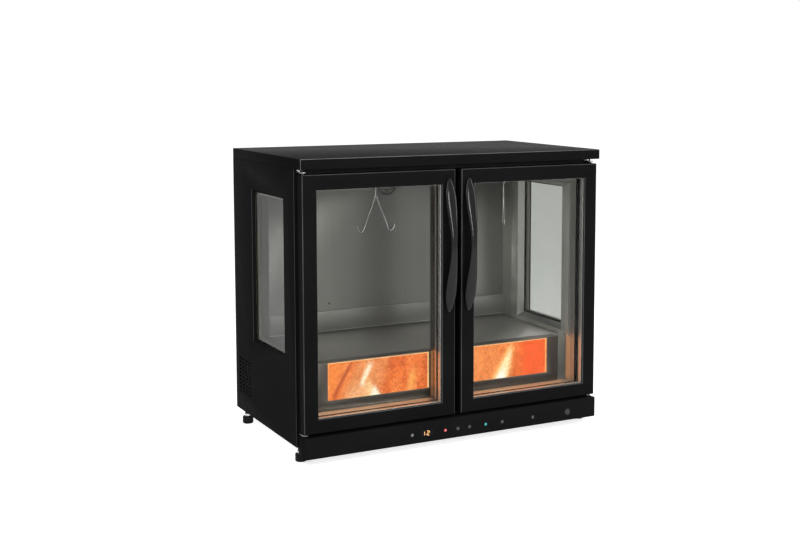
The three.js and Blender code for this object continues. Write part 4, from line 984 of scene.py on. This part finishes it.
@dataclass
class Studio:
    """Camera, soft lights, white surroundings and the floor.

    The camera's place is in millimetres. A softbox is its name, place, size, watts and aim, in metres.
    """

    camera_place: Place = (-1619.62, -3185.69, 1009.61)
    yaw: float = 0.506056
    pitch: float = 0.104399
    roll: float = 0.002926
    focal_pixels: float = 1273.72
    shift_pixels: Pair = (64.0, -64.02)
    picture_width: float = 800
    sensor: float = 36
    far_clip: float = 200
    surround_light: float = 0.55
    floor_radius: float = 60
    floor_light: float = 0.6
    softboxes: tuple[tuple[str, Place, Pair, float, Place], ...] = (
        ("key_softbox", (-2.6, -2.4, 2.6), (1.8, 1.4), 42, (0, 0, 0.4)),
        ("right_softbox", (3.4, -1.9, 1.9), (1.0, 2.0), 34, (0, 0, 0.4)),
        ("top_softbox", (0.0, 0.2, 3.4), (2.4, 1.6), 30, (0, 0, 0.4)),
        ("handle_strip", (0.1, -3.1, 1.2), (0.6, 1.2), 42, (0, -0.25, 0.6)),
    )

    def camera(self) -> None:
        """Place the camera at the photograph's viewing angle."""
        deselect()
        bpy.ops.object.camera_add(location=spot(*self.camera_place))
        camera = bpy.context.object
        camera.name = "photo_camera"
        turn = Matrix.Rotation(-self.yaw, 3, "Z") @ Matrix.Rotation(math.pi / 2 - self.pitch, 3, "X")
        camera.rotation_euler = (turn @ Matrix.Rotation(self.roll, 3, "Z")).to_euler()
        camera.data.sensor_width = self.sensor
        camera.data.lens = self.focal_pixels / self.picture_width * self.sensor
        camera.data.shift_x = -self.shift_pixels[0] / self.picture_width
        camera.data.shift_y = self.shift_pixels[1] / self.picture_width
        camera.data.clip_end = self.far_clip
        bpy.context.scene.camera = camera

    def lights(self) -> None:
        """Hang the soft lights."""
        for settings in self.softboxes:
            softbox(*settings)

    def surroundings(self) -> None:
        """Set white surroundings that light the object plainly."""
        world = bpy.data.worlds.new("white_studio")
        bpy.context.scene.world = world
        recipe = Recipe(world, "OutputWorld")
        inputs = {"Value": recipe.rays(*SEEN_RAYS), "To Min": self.surround_light, "To Max": 1.0}
        strength = recipe.add("MapRange", inputs).outputs[0]
        recipe.close(recipe.add("Background", {"Color": (1, 1, 1, 1), "Strength": strength}))

    def floor(self) -> None:
        """Lay a plain white floor that keeps the object's shadow."""
        deselect()
        bpy.ops.mesh.primitive_circle_add(vertices=96, radius=self.floor_radius, fill_type="NGON")
        floor = bpy.context.object
        floor.name = "studio_floor"
        recipe = Recipe.finish("studio_floor_white")
        tone = recipe.noise(0.6, 2)
        white = recipe.surface(
            {
                "Base Color": recipe.ramp(tone, ((0.3, (0.9, 0.9, 0.9)), (0.7, (0.92, 0.92, 0.92)))),
                "Roughness": 1.0,
                "Specular IOR Level": 0.0,
                "Emission Color": (1, 1, 1),
                "Emission Strength": recipe.maths("MULTIPLY", recipe.rays(*SEEN_RAYS), self.floor_light),
            }
        )
        floor.data.materials.append(white)

    def build(self) -> None:
        """Build the whole studio."""
        self.camera()
        self.lights()
        self.surroundings()
        self.floor()
        bpy.context.scene.view_settings.view_transform = "Standard"


# ---------------------------------------------------------------- small fasteners


class Facing(Enum):
    """The way a fastener's head looks."""

    FRONT = (0, -1, 0)
    BACK = (0, 1, 0)
    LEFT = (-1, 0, 0)
    RIGHT = (1, 0, 0)


def screws(
    name: str, places: Sequence[Sequence[float]], facing: Facing, radius: float, proud: float
) -> Piece:
    """Model one pan-head screw with a round recess and set copies of it.

    Args:
        name: The name of the joined screws.
        places: Where each head's underside sits, in millimetres.
        facing: The way the heads look.
        radius: A head's radius.
        proud: A head's height.

    Returns:
        All the screws as one mesh.
    """
    axis = Vector(facing.value)
    depth, rim = proud * 0.45, radius * 0.42
    head = rod(name + "_head", (0, 0, 0), axis * proud, radius, 16, depth)
    with editing(head):
        choose(head, lambda face: face.normal.dot(axis) > 0.99 and face.calc_area() > 1e-7)
        bpy.ops.mesh.inset(thickness=rim * METRES)
        bpy.ops.mesh.extrude_region_move(TRANSFORM_OT_translate={"value": -axis * depth * METRES})
    heads = [copied(head, place) for place in places]
    bpy.data.objects.remove(head)
    return smooth(joined(name, heads))


# ---------------------------------------------------------------- the cabinet's outside


@dataclass
class CabinetShell:
    """Worktop, side panels, rear panel, front frame, base pan and feet."""

    worktop_edges: Edges = (1.6, 3)
    panel_edges: Edges = (0.8, 2, 60)
    jamb_edges: Edges = (0.6, 2, 20)
    foot_x: float = 431
    foot_rows: Pair = (-174.85, 231.65)
    foot_edges: Edges = (0.7,)
    foot_collar: Place = (20.4, 27.5, 10.5)
    collar_round: float = 0.8
    post_low: Place = (-39.5, -172.2, 113.5)
    post_high: Place = (39.5, -143.2, 714)
    post_round: float = 1.2
    post_wall: float = 1.2
    lining_x: float = 410
    post_depth: float = 24
    rear_y: float = 270.15
    rear_screw_x: tuple[float, ...] = (-438, -219, 0, 219, 438)
    rear_screw_z: tuple[float, ...] = (52, 745)
    rear_side_z: tuple[float, ...] = (225, 400, 575)
    rear_screw: Pair = (3.4, 1.3)

    def build_skins(self) -> None:
        """Round the folds of the worktop and side panels, and dress the sheets that stay."""
        # The rounded front corners of the worktop and the side panels take a painted highlight.
        worn = (Shop.WORKTOP, Slot.STEEL, "cabinet", front_corner, Shop.FOLD)
        rework("worktop", "worktop_tray", self.worktop_edges, *worn)
        for side in SIDES:
            worn = (Shop.BLACK_STEEL, Slot.STEEL, "cabinet", front_corner, Shop.DOOR_FOLD)
            rework(f"{side}_side_panel", f"{side}_side_skin", self.panel_edges, *worn)
        finish_nodes({"rear_panel": Shop.REAR_PAINT, "base_pan": Shop.GALVANISED, "insulation": Shop.FOAM})

    def build_front_frame(self) -> None:
        """Round the edges of the frame that the doors close on."""
        jamb = refined("front_frame", "front_frame_jambs", *self.jamb_edges)
        mark(jamb, lambda face: looks_inward(face, self.lining_x))
        dress(jamb, Shop.JAMB, stands_for=["front_frame"], fold_finish=Shop.LINING)
        post = block("centre_post", self.post_low, self.post_high, self.post_round)
        with editing(post):
            choose(post, lambda face: face.normal.y > 0.99)
            bpy.ops.mesh.inset(thickness=self.post_wall * METRES)
            bpy.ops.mesh.extrude_region_move(TRANSFORM_OT_translate={"value": spot(0, -self.post_depth, 0)})
        dress(smooth(post), Shop.POST)

    def build_feet(self) -> None:
        """Turn the feet and give each its hexagonal adjusting collar."""
        low, high, radius = self.foot_collar
        for row, y in zip(("front", "rear"), self.foot_rows):
            for side, sign in SIDES.items():
                node, x = f"{row}_{side}_foot", sign * self.foot_x
                rework(node, f"{node}_pad", self.foot_edges, Shop.RUBBER, Slot.RUBBER)
                collar = rod(f"{node}_collar", (x, y, low), (x, y, high), radius, 6, self.collar_round)
                dress(collar, Shop.ZINC)

    def build_rear_screws(self) -> None:
        """Set the screws that hold the rear panel."""
        ends = (self.rear_screw_x[0], self.rear_screw_x[-1])
        places = [(x, self.rear_y, z) for x in self.rear_screw_x for z in self.rear_screw_z]
        places += [(x, self.rear_y, z) for x in ends for z in self.rear_side_z]
        dress(screws("rear_panel_screws", places, Facing.BACK, *self.rear_screw), Shop.ZINC)

    def build(self) -> None:
        """Build the outside of the cabinet."""
        self.build_skins()
        self.build_front_frame()
        self.build_feet()
        self.build_rear_screws()


# ---------------------------------------------------------------- insulating glass


@dataclass
class GlassUnit:
    """An insulating glass unit: two panes, a bright spacer bar between them and the black seal round it.

    low and high are the unit's corners, and axis is the one that one looks along.
    """

    name: str
    node: str
    body: str
    low: Place
    high: Place
    axis: int
    finish: Pane
    bar_finish: BrushedSheet
    pane: float = 4.0
    pane_round: float = 0.4
    seal_width: float = 3.4
    seal_round: float = 0.3
    seal_inset: float = 0.3
    spacer_width: float = 5.9
    spacer_round: float = 0.5
    spacer_play: float = 0.32
    play: float = 0.05

    def between_planes(self, start: float, stop: float, inset: float) -> tuple[list[float], list[float]]:
        """Give a box between two planes of the unit's axis, taken in on its other sides."""
        low = [value + inset for value in self.low]
        high = [value - inset for value in self.high]
        low[self.axis], high[self.axis] = start, stop
        return low, high

    def build(self) -> None:
        """Build the unit in place of its CAD node."""
        start, stop = self.low[self.axis], self.high[self.axis]
        panes = [
            block(f"{self.name}_{which}_pane", *self.between_planes(a, a + self.pane, 0), self.pane_round, 1)
            for which, a in (("near", start), ("far", stop - self.pane))
        ]
        for pane in panes:
            dress(pane, self.finish, self.body, [self.node])
        a, b = start + self.pane + self.play, stop - self.pane - self.play
        corners = self.between_planes(a, b, self.seal_inset)
        seal = surround(f"{self.name}_edge_seal", *corners, self.seal_width, self.axis, self.seal_round)
        dress(seal, Shop.BUTYL, self.body, [self.node])
        corners = self.between_planes(a, b, self.seal_width + self.spacer_play)
        spacer = surround(f"{self.name}_spacer", *corners, self.spacer_width, self.axis, self.spacer_round)
        dress(spacer, self.bar_finish, self.body, [self.node])


# ---------------------------------------------------------------- doors


@dataclass
class Door:
    """One hinged door with its frame, glass unit, gasket and bowed handle. side is left or right."""

    side: str
    frame_edges: Edges = (1.3, 3, 12)
    glass_low: Place = (40.7, -229.05, 110.8)
    glass_high: Place = (412.9, -207.05, 714.7)
    gasket_low: Place = (21.4, -197.05, 94.5)
    gasket_high: Place = (432.2, -192.65, 734.0)
    bulb_width: float = 9
    bulb_round: float = 1.4
    lip_inset: float = 10.5
    lip_step: float = 1.6
    lip_width: float = 3
    lip_round: float = 0.5
    handle_levels: int = 2

    @property
    def body(self) -> str:
        """The CAD body that the door's pieces move with."""
        return f"{self.side}_door"

    def build_frame(self) -> None:
        """Round the edges of the door's extruded frame."""
        # The frame's rounded front corners take a painted highlight.
        worn = (Shop.DOOR_FRAME, Slot.DOOR_FRAME, self.body, front_corner, Shop.DOOR_FOLD)
        rework(f"{self.side}_door_frame", f"{self.side}_door_profile", self.frame_edges, *worn)

    def build_glass(self) -> None:
        """Build the insulating glass unit."""
        low, high = mirrored(self.side, self.glass_low, self.glass_high)
        name, node = f"{self.side}_door_glazing", f"{self.side}_door_glass"
        GlassUnit(name, node, self.body, low, high, 1, Shop.DOOR_GLASS, Shop.SPACER).build()

    def build_gasket(self) -> None:
        """Build the magnetic gasket: a soft bulb with a thin lip inside it."""
        low, high = mirrored(self.side, self.gasket_low, self.gasket_high)
        bulb = surround(f"{self.side}_gasket_bulb", low, high, self.bulb_width, 1, self.bulb_round)
        lip_low = [low[0] + self.lip_inset, low[1], low[2] + self.lip_inset]
        lip_high = [high[0] - self.lip_inset, high[1] - self.lip_step, high[2] - self.lip_inset]
        lip = surround(f"{self.side}_gasket_lip", lip_low, lip_high, self.lip_width, 1, self.lip_round)
        piece = joined(f"{self.side}_gasket", [bulb, lip])
        dress(piece, Shop.SEAL, self.body, [f"{self.side}_door_gasket"])

    def round_sections(self, handle: Piece) -> None:
        """Turn the handle's square-shouldered sections into ovals, one station after the other."""
        stations: dict[float, list[Any]] = {}
        for vertex in handle.data.vertices:
            stations.setdefault(round(vertex.co.z, 4), []).append(vertex)
        for ring in stations.values():
            lows = [min(vertex.co[axis] for vertex in ring) for axis in (0, 1)]
            highs = [max(vertex.co[axis] for vertex in ring) for axis in (0, 1)]
            middle = [(low + high) / 2 for low, high in zip(lows, highs)]
            half = [max((high - low) / 2, 1e-6) for low, high in zip(lows, highs)]
            for vertex in ring:
                off = [(vertex.co[axis] - middle[axis]) / half[axis] for axis in (0, 1)]
                length = math.hypot(*off)
                if length > 0.1:
                    for axis in (0, 1):
                        vertex.co[axis] = middle[axis] + off[axis] / length * half[axis]

    def build_handle(self) -> None:
        """Smooth the bowed handle and polish it."""
        handle = refined(f"{self.side}_door_handle", f"{self.side}_bowed_handle", 0)
        self.round_sections(handle)
        pick_up(handle)
        round_off = handle.modifiers.new("rounded", "SUBSURF")
        round_off.levels = round_off.render_levels = self.handle_levels
        bpy.ops.object.modifier_apply(modifier=round_off.name)
        smooth(handle, 60)
        dress(handle, Shop.HANDLE, self.body, [f"{self.side}_door_handle"])

    def build(self) -> None:
        """Build the whole door."""
        self.build_frame()
        self.build_glass()
        self.build_gasket()
        self.build_handle()


@dataclass
class Hinges:
    """The four dark zinc hinge plates with their pivot heads."""

    plate_edges: Edges = (0.35,)

    def build(self) -> None:
        """Round the plates' edges."""
        for side in SIDES:
            for level in ("lower", "upper"):
                name = f"{side}_{level}_hinge"
                rework(f"{name}_plate", f"{name}_bracket", self.plate_edges, Shop.HINGE, Slot.ZINC)


# ---------------------------------------------------------------- control strip


class Mark(Enum):
    """The generic sign on a key."""

    LIGHT = "light"
    DOWN = "down"
    UP = "up"
    SET = "set"
    HUMIDITY = "humidity"
    POWER = "power"


@dataclass
class ControlStrip:
    """The strip under the doors: display, indicators, keys and power button."""

    centre_z: float = 43
    front_y: float = -239.28
    digit_y: float = -238.32
    digit_size: Pair = (7.2, 11.0)
    digit_bar: float = 1.5
    digit_depth: float = 0.18
    digit_x: Pair = (-107.6, -93.4)
    shown: str = "12"
    strip_edges: Edges = (0.9, 2, 30)
    cap_edges: Edges = (0.25,)
    ring_steps: int = 12
    sign_wire: float = 0.32
    sign_proud: float = 0.02
    sign_depth: float = 0.9
    keys: tuple[tuple[str, float, Mark], ...] = (
        ("light_key", -141, Mark.LIGHT),
        ("down_key", -3, Mark.DOWN),
        ("up_key", 33, Mark.UP),
        ("set_key", 136, Mark.SET),
        ("humidity_key", 235, Mark.HUMIDITY),
        ("power_button", 351, Mark.POWER),
    )

    # Which of a digit's seven bars are lit: top, upper left and right, middle, lower left and right, bottom
    SEGMENTS = {"1": "0010010", "2": "1011101"}
    INKS = {Mark.LIGHT: Shop.LIGHT_MARK, Mark.POWER: Shop.DIM_MARK}

    def inlay(self, name: str, x: float, z: float, size: Pair, turn: float = 0) -> Piece:
        """Model one thin bar of a sign, turned about its middle.

        Args:
            name: Its name.
            x: Its middle's place across the strip.
            z: Its middle's height.
            size: Its length and thickness.
            turn: Its turn in degrees.

        Returns:
            The bar.
        """
        half_length, half_height = size[0] / 2, size[1] / 2
        low = (x - half_length, self.front_y - self.sign_proud, z - half_height)
        high = (x + half_length, self.front_y + self.sign_depth, z + half_height)
        bar = block(name, low, high, 0.1, 1)
        if turn:
            centre = spot(x, self.front_y, z)
            spin = Matrix.Translation(centre) @ Matrix.Rotation(math.radians(turn), 4, "Y")
            bar.data.transform(spin @ Matrix.Translation(-centre))
        return bar

    def ring(
        self, name: str, x: float, z: float, radius: float, start: float = 0, stop: float = 360
    ) -> Piece:
        """Model a ring or arc of thin wire for a sign, from one angle to another in degrees."""
        closed = stop - start >= 360
        stops = []
        for step in range(self.ring_steps + (not closed)):
            angle = math.radians(start + (stop - start) * step / self.ring_steps)
            stops.append((x + radius * math.sin(angle), self.front_y + 0.3, z + radius * math.cos(angle)))
        return pipe(name, stops, self.sign_wire, closed)

    def sign(self, name: str, x: float, mark: Mark) -> Piece:
        """Model the sign of one key."""
        z = self.centre_z
        bar = self.inlay
        if mark is Mark.LIGHT:
            bulb_z, bulb_radius, ray_radius = z + 0.3, 1.5, 2.75
            parts = [self.ring(name, x, bulb_z, bulb_radius)]
            parts += [
                bar(name + f"_base{row}", x, z - 2.0 - row * 0.9, (1.7 - row * 0.5, 0.5)) for row in (0, 1)
            ]
            for angle in (-90, -45, 0, 45, 90):
                turn = math.radians(angle)
                rx, rz = x + ray_radius * math.sin(turn), bulb_z + ray_radius * math.cos(turn)
                parts.append(bar(name + f"_ray{angle + 90}", rx, rz, (1.0, 0.45), angle - 90))
        elif mark in (Mark.UP, Mark.DOWN):
            way = 1 if mark is Mark.UP else -1
            parts = [bar(name + str(lean), x + lean * 1.2, z, (3.4, 0.8), lean * way * 45) for lean in (-1, 1)]
        elif mark is Mark.SET:
            parts = [self.ring(name, x, z, 2.0), bar(name + "_dot", x, z, (1.2, 1.2))]
        elif mark is Mark.HUMIDITY:
            parts = [self.ring(name, x, z - 0.7, 1.9, 35, 325)]
            parts += [
                bar(name + str(lean), x + lean * 0.62, z + 1.75, (2.1, 0.55), lean * 62) for lean in (-1, 1)
            ]
        else:
            parts = [self.ring(name, x, z, 3.6, 35, 325), bar(name + "_line", x, z + 2.6, (0.8, 3.4))]
        return joined(name, parts)

    def build_strip(self) -> None:
        """Round the strip's folded edges and dress what stays of it."""
        rework("control_strip", "control_fascia", self.strip_edges, Shop.BLACK_STEEL, Slot.STEEL)
        finish_nodes(
            {
                "control_board": Shop.BOARD,
                "display_window": Shop.WINDOW,
                "indicator_light_guide": Shop.INDICATORS,
            }
        )

    def build_digits(self) -> None:
        """Model the display's lit digits from seven bars each."""
        width, height = self.digit_size
        half = height / 2
        bars = []
        for place, digit in zip(self.digit_x, self.shown):
            spots = [
                (0, half, True), (-width / 2, half / 2, False), (width / 2, half / 2, False), (0, 0, True),
                (-width / 2, -half / 2, False), (width / 2, -half / 2, False), (0, -half, True),
            ]
            for number, ((dx, dz, level), lit) in enumerate(zip(spots, self.SEGMENTS[digit])):
                if lit == "0":
                    continue
                along = (width if level else half) - self.digit_bar * 1.1
                sx, sz = (along, self.digit_bar) if level else (self.digit_bar, along)
                x, z = place + dx, self.centre_z + dz
                low = (x - sx / 2, self.digit_y, z - sz / 2)
                high = (x + sx / 2, self.digit_y + self.digit_depth, z + sz / 2)
                bars.append(block(f"digit_{digit}_bar{number}", low, high, 0.08, 1))
        dress(joined("display_digits", bars), Shop.DIGIT)

    def build_keys(self) -> None:
        """Round the key caps and set their signs."""
        for node, x, mark in self.keys:
            rework(node, f"{node}_cap", self.cap_edges, Shop.KEY, Slot.KEY, node)
            dress(self.sign(f"{node}_sign", x, mark), self.INKS.get(mark, Shop.MARK), node)

    def build(self) -> None:
        """Build the whole strip."""
        self.build_strip()
        self.build_digits()
        self.build_keys()


# ---------------------------------------------------------------- the chamber


@dataclass
class Chamber:
    """Liner, side glazing, hanging rail with its hooks, and the lamp above them."""

    window_low: Place = (421.7, -114.85, 263.5)
    window_high: Place = (441.7, 119.15, 679)
    hem_low: Place = (-401.2, 210.4, 246.8)
    hem_high: Place = (401.2, 213.0, 250.6)
    hem_round: float = 0.6
    duct_edges: Edges = (1.1, 2, 300, 15)
    step_edges: Edges = (0.9, 2, 100)
    surround_edges: Edges = (0.5, 2, 40, 15)
    rail_edges: Edges = (0.3,)
    lamp_edges: Edges = (0.8, 3, 15)
    duct_y: float = 203.15
    duct_screw: Pair = (3.4, 1.4)
    duct_screw_x: tuple[float, ...] = (-385, -190, 190, 385)
    duct_screw_z: tuple[float, ...] = (330, 700)
    surround_screws_y: tuple[float, ...] = (-144, -3, 138)
    surround_screws_z: Pair = (249.5, 682)
    surround_screw: Pair = (2.8, 1.1)
    border_x: float = 399.7
    border_play: float = 0.3

    def build_liner(self) -> None:
        """Dress the liner's sheets."""
        finish_nodes({f"{side}_liner": Shop.LINER for side in (*SIDES, "back")})
        finish_nodes({"ceiling_liner": Shop.CEILING})
        # The long rounded folds of the duct cover and the step take a painted highlight.
        worn = (Slot.LINER, "cabinet", long_fold, Shop.FOLD_STEEL)
        rework("duct_cover", "duct_cover_sheet", self.duct_edges, Shop.DUCT, *worn)
        rework("step_liner", "stepped_floor", self.step_edges, Shop.STEP, *worn)
        # The hem wears the same lighter fold steel, a painted highlight.
        hem = block("duct_cover_hem", self.hem_low, self.hem_high, self.hem_round)
        dress(hem, Shop.FOLD_STEEL)
        places = [(x, self.duct_y, z) for x in self.duct_screw_x for z in self.duct_screw_z]
        dress(screws("duct_cover_screws", places, Facing.FRONT, *self.duct_screw), Shop.WIRE)

    def build_windows(self) -> None:
        """Build the side glazing and the splayed surrounds."""
        for side, sign in SIDES.items():
            low, high = mirrored(side, self.window_low, self.window_high)
            name, pane = f"{side}_side_glazing", f"{side}_window_glass"
            GlassUnit(name, pane, "cabinet", low, high, 0, Shop.SIDE_GLASS, Shop.SIDE_SPACER).build()
            node = f"{side}_window_surround"
            piece = refined(node, f"{side}_splayed_surround", *self.surround_edges)
            # The inward-facing border faces take the lighter steel, a painted highlight.
            mark(piece, lambda face: looks_inward(face, self.border_x + self.border_play))
            dress(piece, Shop.REVEAL, stands_for=[node], fold_finish=Shop.BORDER)
            facing, x = (Facing.RIGHT if sign < 0 else Facing.LEFT), sign * self.border_x
            places = [(x, y, z) for y in self.surround_screws_y for z in self.surround_screws_z]
            heads = screws(f"{side}_surround_screws", places, facing, *self.surround_screw)
            dress(heads, Shop.WIRE)

    def build_rail(self) -> None:
        """Polish the rail and its hooks."""
        rework("hanging_rail", "hanging_rail_bar", self.rail_edges, Shop.WIRE, Slot.WIRE)
        for side in SIDES:
            hook = refined(f"{side}_hook", f"{side}_wire_hook", 0)
            smooth(hook, 60)
            dress(hook, Shop.WIRE, f"{side}_hook", [f"{side}_hook"])

    def build(self) -> None:
        """Build the whole chamber."""
        self.build_liner()
        self.build_windows()
        self.build_rail()
        rework("ceiling_lamp", "ceiling_lamp_cover", self.lamp_edges, Shop.CEILING_LIGHT, Slot.LAMP)


@dataclass
class SaltWall:
    """The salt wall: steel frame, two rock salt slabs and the lamp behind them."""

    slab_low: Place = (35.5, -140.65, 113.8)
    slab_high: Place = (347, -120.65, 240.5)
    glow_low: Place = (40, -143.4, 114)
    glow_high: Place = (398, -143.4, 241)
    glow_colour: Colour = (1.0, 0.40, 0.13)
    glow_watts: float = 0.12
    slab_round: float = 1.2
    frame_edges: Edges = (0.7, 2, 20)
    lamp_edges: Edges = (1.2, 3)
    long_edge: float = 50
    slab_cuts: tuple[int, int] = (5, 3)
    # The near-white bands are painted hot spots from the lamp behind the slabs. The narrow bands just inside the
    # slabs' ends and along their tops are painted bright edges.
    bands: tuple[Streak, ...] = (
        Streak((-250, 128), (-208, 240), (78, 64), (0.82, 0.32, 0.115), 0.8, 0.45),
        Streak((-334, 130), (-318, 240), (12, 30), (0.94, 0.27, 0.055), 0.8, 0.2),
        Streak((-322, 150), (-272, 236), (12, 10), (0.48, 0.08, 0.03), 0.85, 0.0),
        Streak((-262, 122), (-250, 172), (66, 30), (0.95, 0.52, 0.25), 0.75, 0.1, 24),
        Streak((-241, 178), (-218, 224), (13, 16), (1.0, 0.88, 0.62), 0.95, 0.0, 20),
        Streak((-205, 122), (-226, 178), (44, 18), (0.98, 0.62, 0.30), 0.9, 0.1, 20),
        Streak((-201, 120), (-206, 158), (30, 12), (1.0, 0.93, 0.76), 1.2, 0.1, 14),
        Streak((-96, 150), (-92, 190), (22, 16), (0.97, 0.42, 0.10), 0.9, 0.0, 22),
        Streak((-130, 190), (-60, 236), (30, 24), (0.90, 0.20, 0.04), 0.6, 0.1, 20),
        Streak((-338.5, 127), (-338.5, 239), (2.4, 2.4), (0.95, 0.4, 0.12), 0.8, 0.4, 3),
        Streak((-43.5, 127), (-43.5, 239), (3.4, 3.4), (1.0, 0.66, 0.26), 1.0, 0.5, 3),
        Streak((-191, 237.4), (-191, 240.5), (156, 156), (1.0, 0.60, 0.27), 1.0, 0.97, 1.0),
        Streak((118, 128), (118, 240), (104, 104), (0.90, 0.30, 0.085), 0.75, 0.4),
        Streak((305, 120), (300, 240), (74, 76), (0.98, 0.105, 0.02), 0.8, 0.3),
        Streak((326, 118), (330, 160), (26, 18), (1.0, 0.16, 0.035), 0.8, 0.1, 18),
        Streak((178, 116), (220, 226), (58, 18), (0.98, 0.48, 0.15), 1.0, 0.2, 20),
        Streak((178, 116), (218, 212), (40, 10), (1.0, 0.78, 0.42), 1.1, 0.3, 24),
        Streak((174, 112), (196, 160), (32, 14), (1.0, 0.95, 0.80), 1.2, 0.2, 16),
        Streak((338, 127), (338, 239), (3.2, 3.2), (1.0, 0.50, 0.15), 0.95, 0.5, 3),
        Streak((191, 237.4), (191, 240.5), (156, 156), (1.0, 0.56, 0.24), 1.0, 0.97, 1.0),
    )

    def build_slab(self, side: str) -> None:
        """Build one slab: a bevelled block whose long edges and front are subdivided."""
        low, high = mirrored(side, self.slab_low, self.slab_high)
        slab = block(f"{side}_salt_block", low, high, self.slab_round)
        with editing(slab, "EDGE"):
            choose(slab, lambda edge: edge.calc_length() > self.long_edge * METRES, "EDGE")
            bpy.ops.mesh.subdivide(number_cuts=self.slab_cuts[0])
        with editing(slab):
            choose(slab, lambda face: face.normal.y < -0.9)
            bpy.ops.mesh.subdivide(number_cuts=self.slab_cuts[1])
        finish = SaltBlock("rock_salt", bands=self.bands)
        dress(smooth(slab), finish, stands_for=[f"{side}_salt_slab"])

    def build_glow(self, side: str) -> None:
        """Hang the warm light that one slab lets out. Only what it lights and what mirrors it shows it."""
        low, high = spot(*self.glow_low), spot(*self.glow_high)
        size = (high.x - low.x, high.z - low.z)
        middle = (low + high) / 2
        middle.x *= SIDES[side]
        lamp = softbox(f"{side}_salt_glow", middle, size, self.glow_watts, middle - spot(0, 1000, 0))
        lamp.data.color = self.glow_colour
        lamp.visible_camera = lamp.visible_transmission = False

    def build(self) -> None:
        """Build the whole salt wall."""
        rework("salt_frame", "salt_frame_sheet", self.frame_edges, Shop.SALT_FRAME, Slot.LINER)
        for side in SIDES:
            self.build_slab(side)
            self.build_glow(side)
        rework("salt_lamp", "salt_lamp_bar", self.lamp_edges, Shop.SALT_LIGHT, Slot.LAMP)


# ---------------------------------------------------------------- refrigeration


@dataclass
class Machinery:
    """What cools the chamber: evaporator, fans, compressor, condenser, pipes and inlet."""

    blade_edges: Edges = (0.25,)
    shell_edges: Edges = (0.6, 2, 6)
    discharge_radius: float = 3.2
    suction_radius: float = 4.16
    discharge: tuple[Place, ...] = (
        (60, 150, 150), (38, 138, 152), (10, 118, 130), (-40, 100, 90), (-180, 97, 62), (-300, 98, 60),
        (-384, 104, 64), (-396, 112, 70),
    )
    suction: tuple[Place, ...] = (
        (198, 196, 150), (228, 200, 160), (246, 222, 176), (248, 240, 196), (248, 246, 222),
    )
    terminal_low: Place = (108, 96, 84)
    terminal_high: Place = (152, 113, 132)
    terminal_round: tuple[float, int] = (3, 3)

    def build_cold_side(self) -> None:
        """Dress the evaporator and its fan, and round both fan wheels."""
        finish_nodes({"evaporator": Shop.COIL, "evaporator_fan_motor": Shop.FAN_PLASTIC})
        for place, finish in (("evaporator", Shop.FAN_PLASTIC), ("condenser", Shop.BLACK_PLASTIC)):
            wheel = f"{place}_fan_wheel"
            rework(wheel, f"{wheel}_blades", self.blade_edges, finish, Slot.PLASTIC, wheel)

    def build_warm_side(self) -> None:
        """Build the compressor with its terminal cover and pipes, and dress the condenser and the inlet."""
        rework("compressor", "compressor_shell", self.shell_edges, Shop.COMPRESSOR, Slot.COMPRESSOR)
        cover = block("compressor_terminal_cover", self.terminal_low, self.terminal_high, *self.terminal_round)
        dress(cover, Shop.BLACK_PLASTIC)
        finish_nodes(
            {
                "condenser": Shop.COIL,
                "condenser_fan_mount": Shop.BLACK_PLASTIC,
                "drip_tray": Shop.GALVANISED,
                "power_inlet": Shop.BLACK_PLASTIC,
            }
        )
        dress(pipe("discharge_pipe", self.discharge, self.discharge_radius), Shop.COPPER)
        dress(pipe("suction_pipe", self.suction, self.suction_radius), Shop.COPPER)

    def build(self) -> None:
        """Build the machinery."""
        self.build_cold_side()
        self.build_warm_side()


# ---------------------------------------------------------------- all of it


def main() -> None:
    """Build the studio and every part of the cabinet in order."""
    logging.basicConfig(level=logging.INFO, format="%(name)s: %(message)s")
    parts: list[Any] = [Studio(), CabinetShell()]
    parts += [Door(side) for side in SIDES]
    parts += [Hinges(), ControlStrip(), Chamber(), SaltWall(), Machinery()]
    for part in parts:
        LOG.info("building %s", type(part).__name__)
        part.build()


if __name__ == "__main__":
    main()
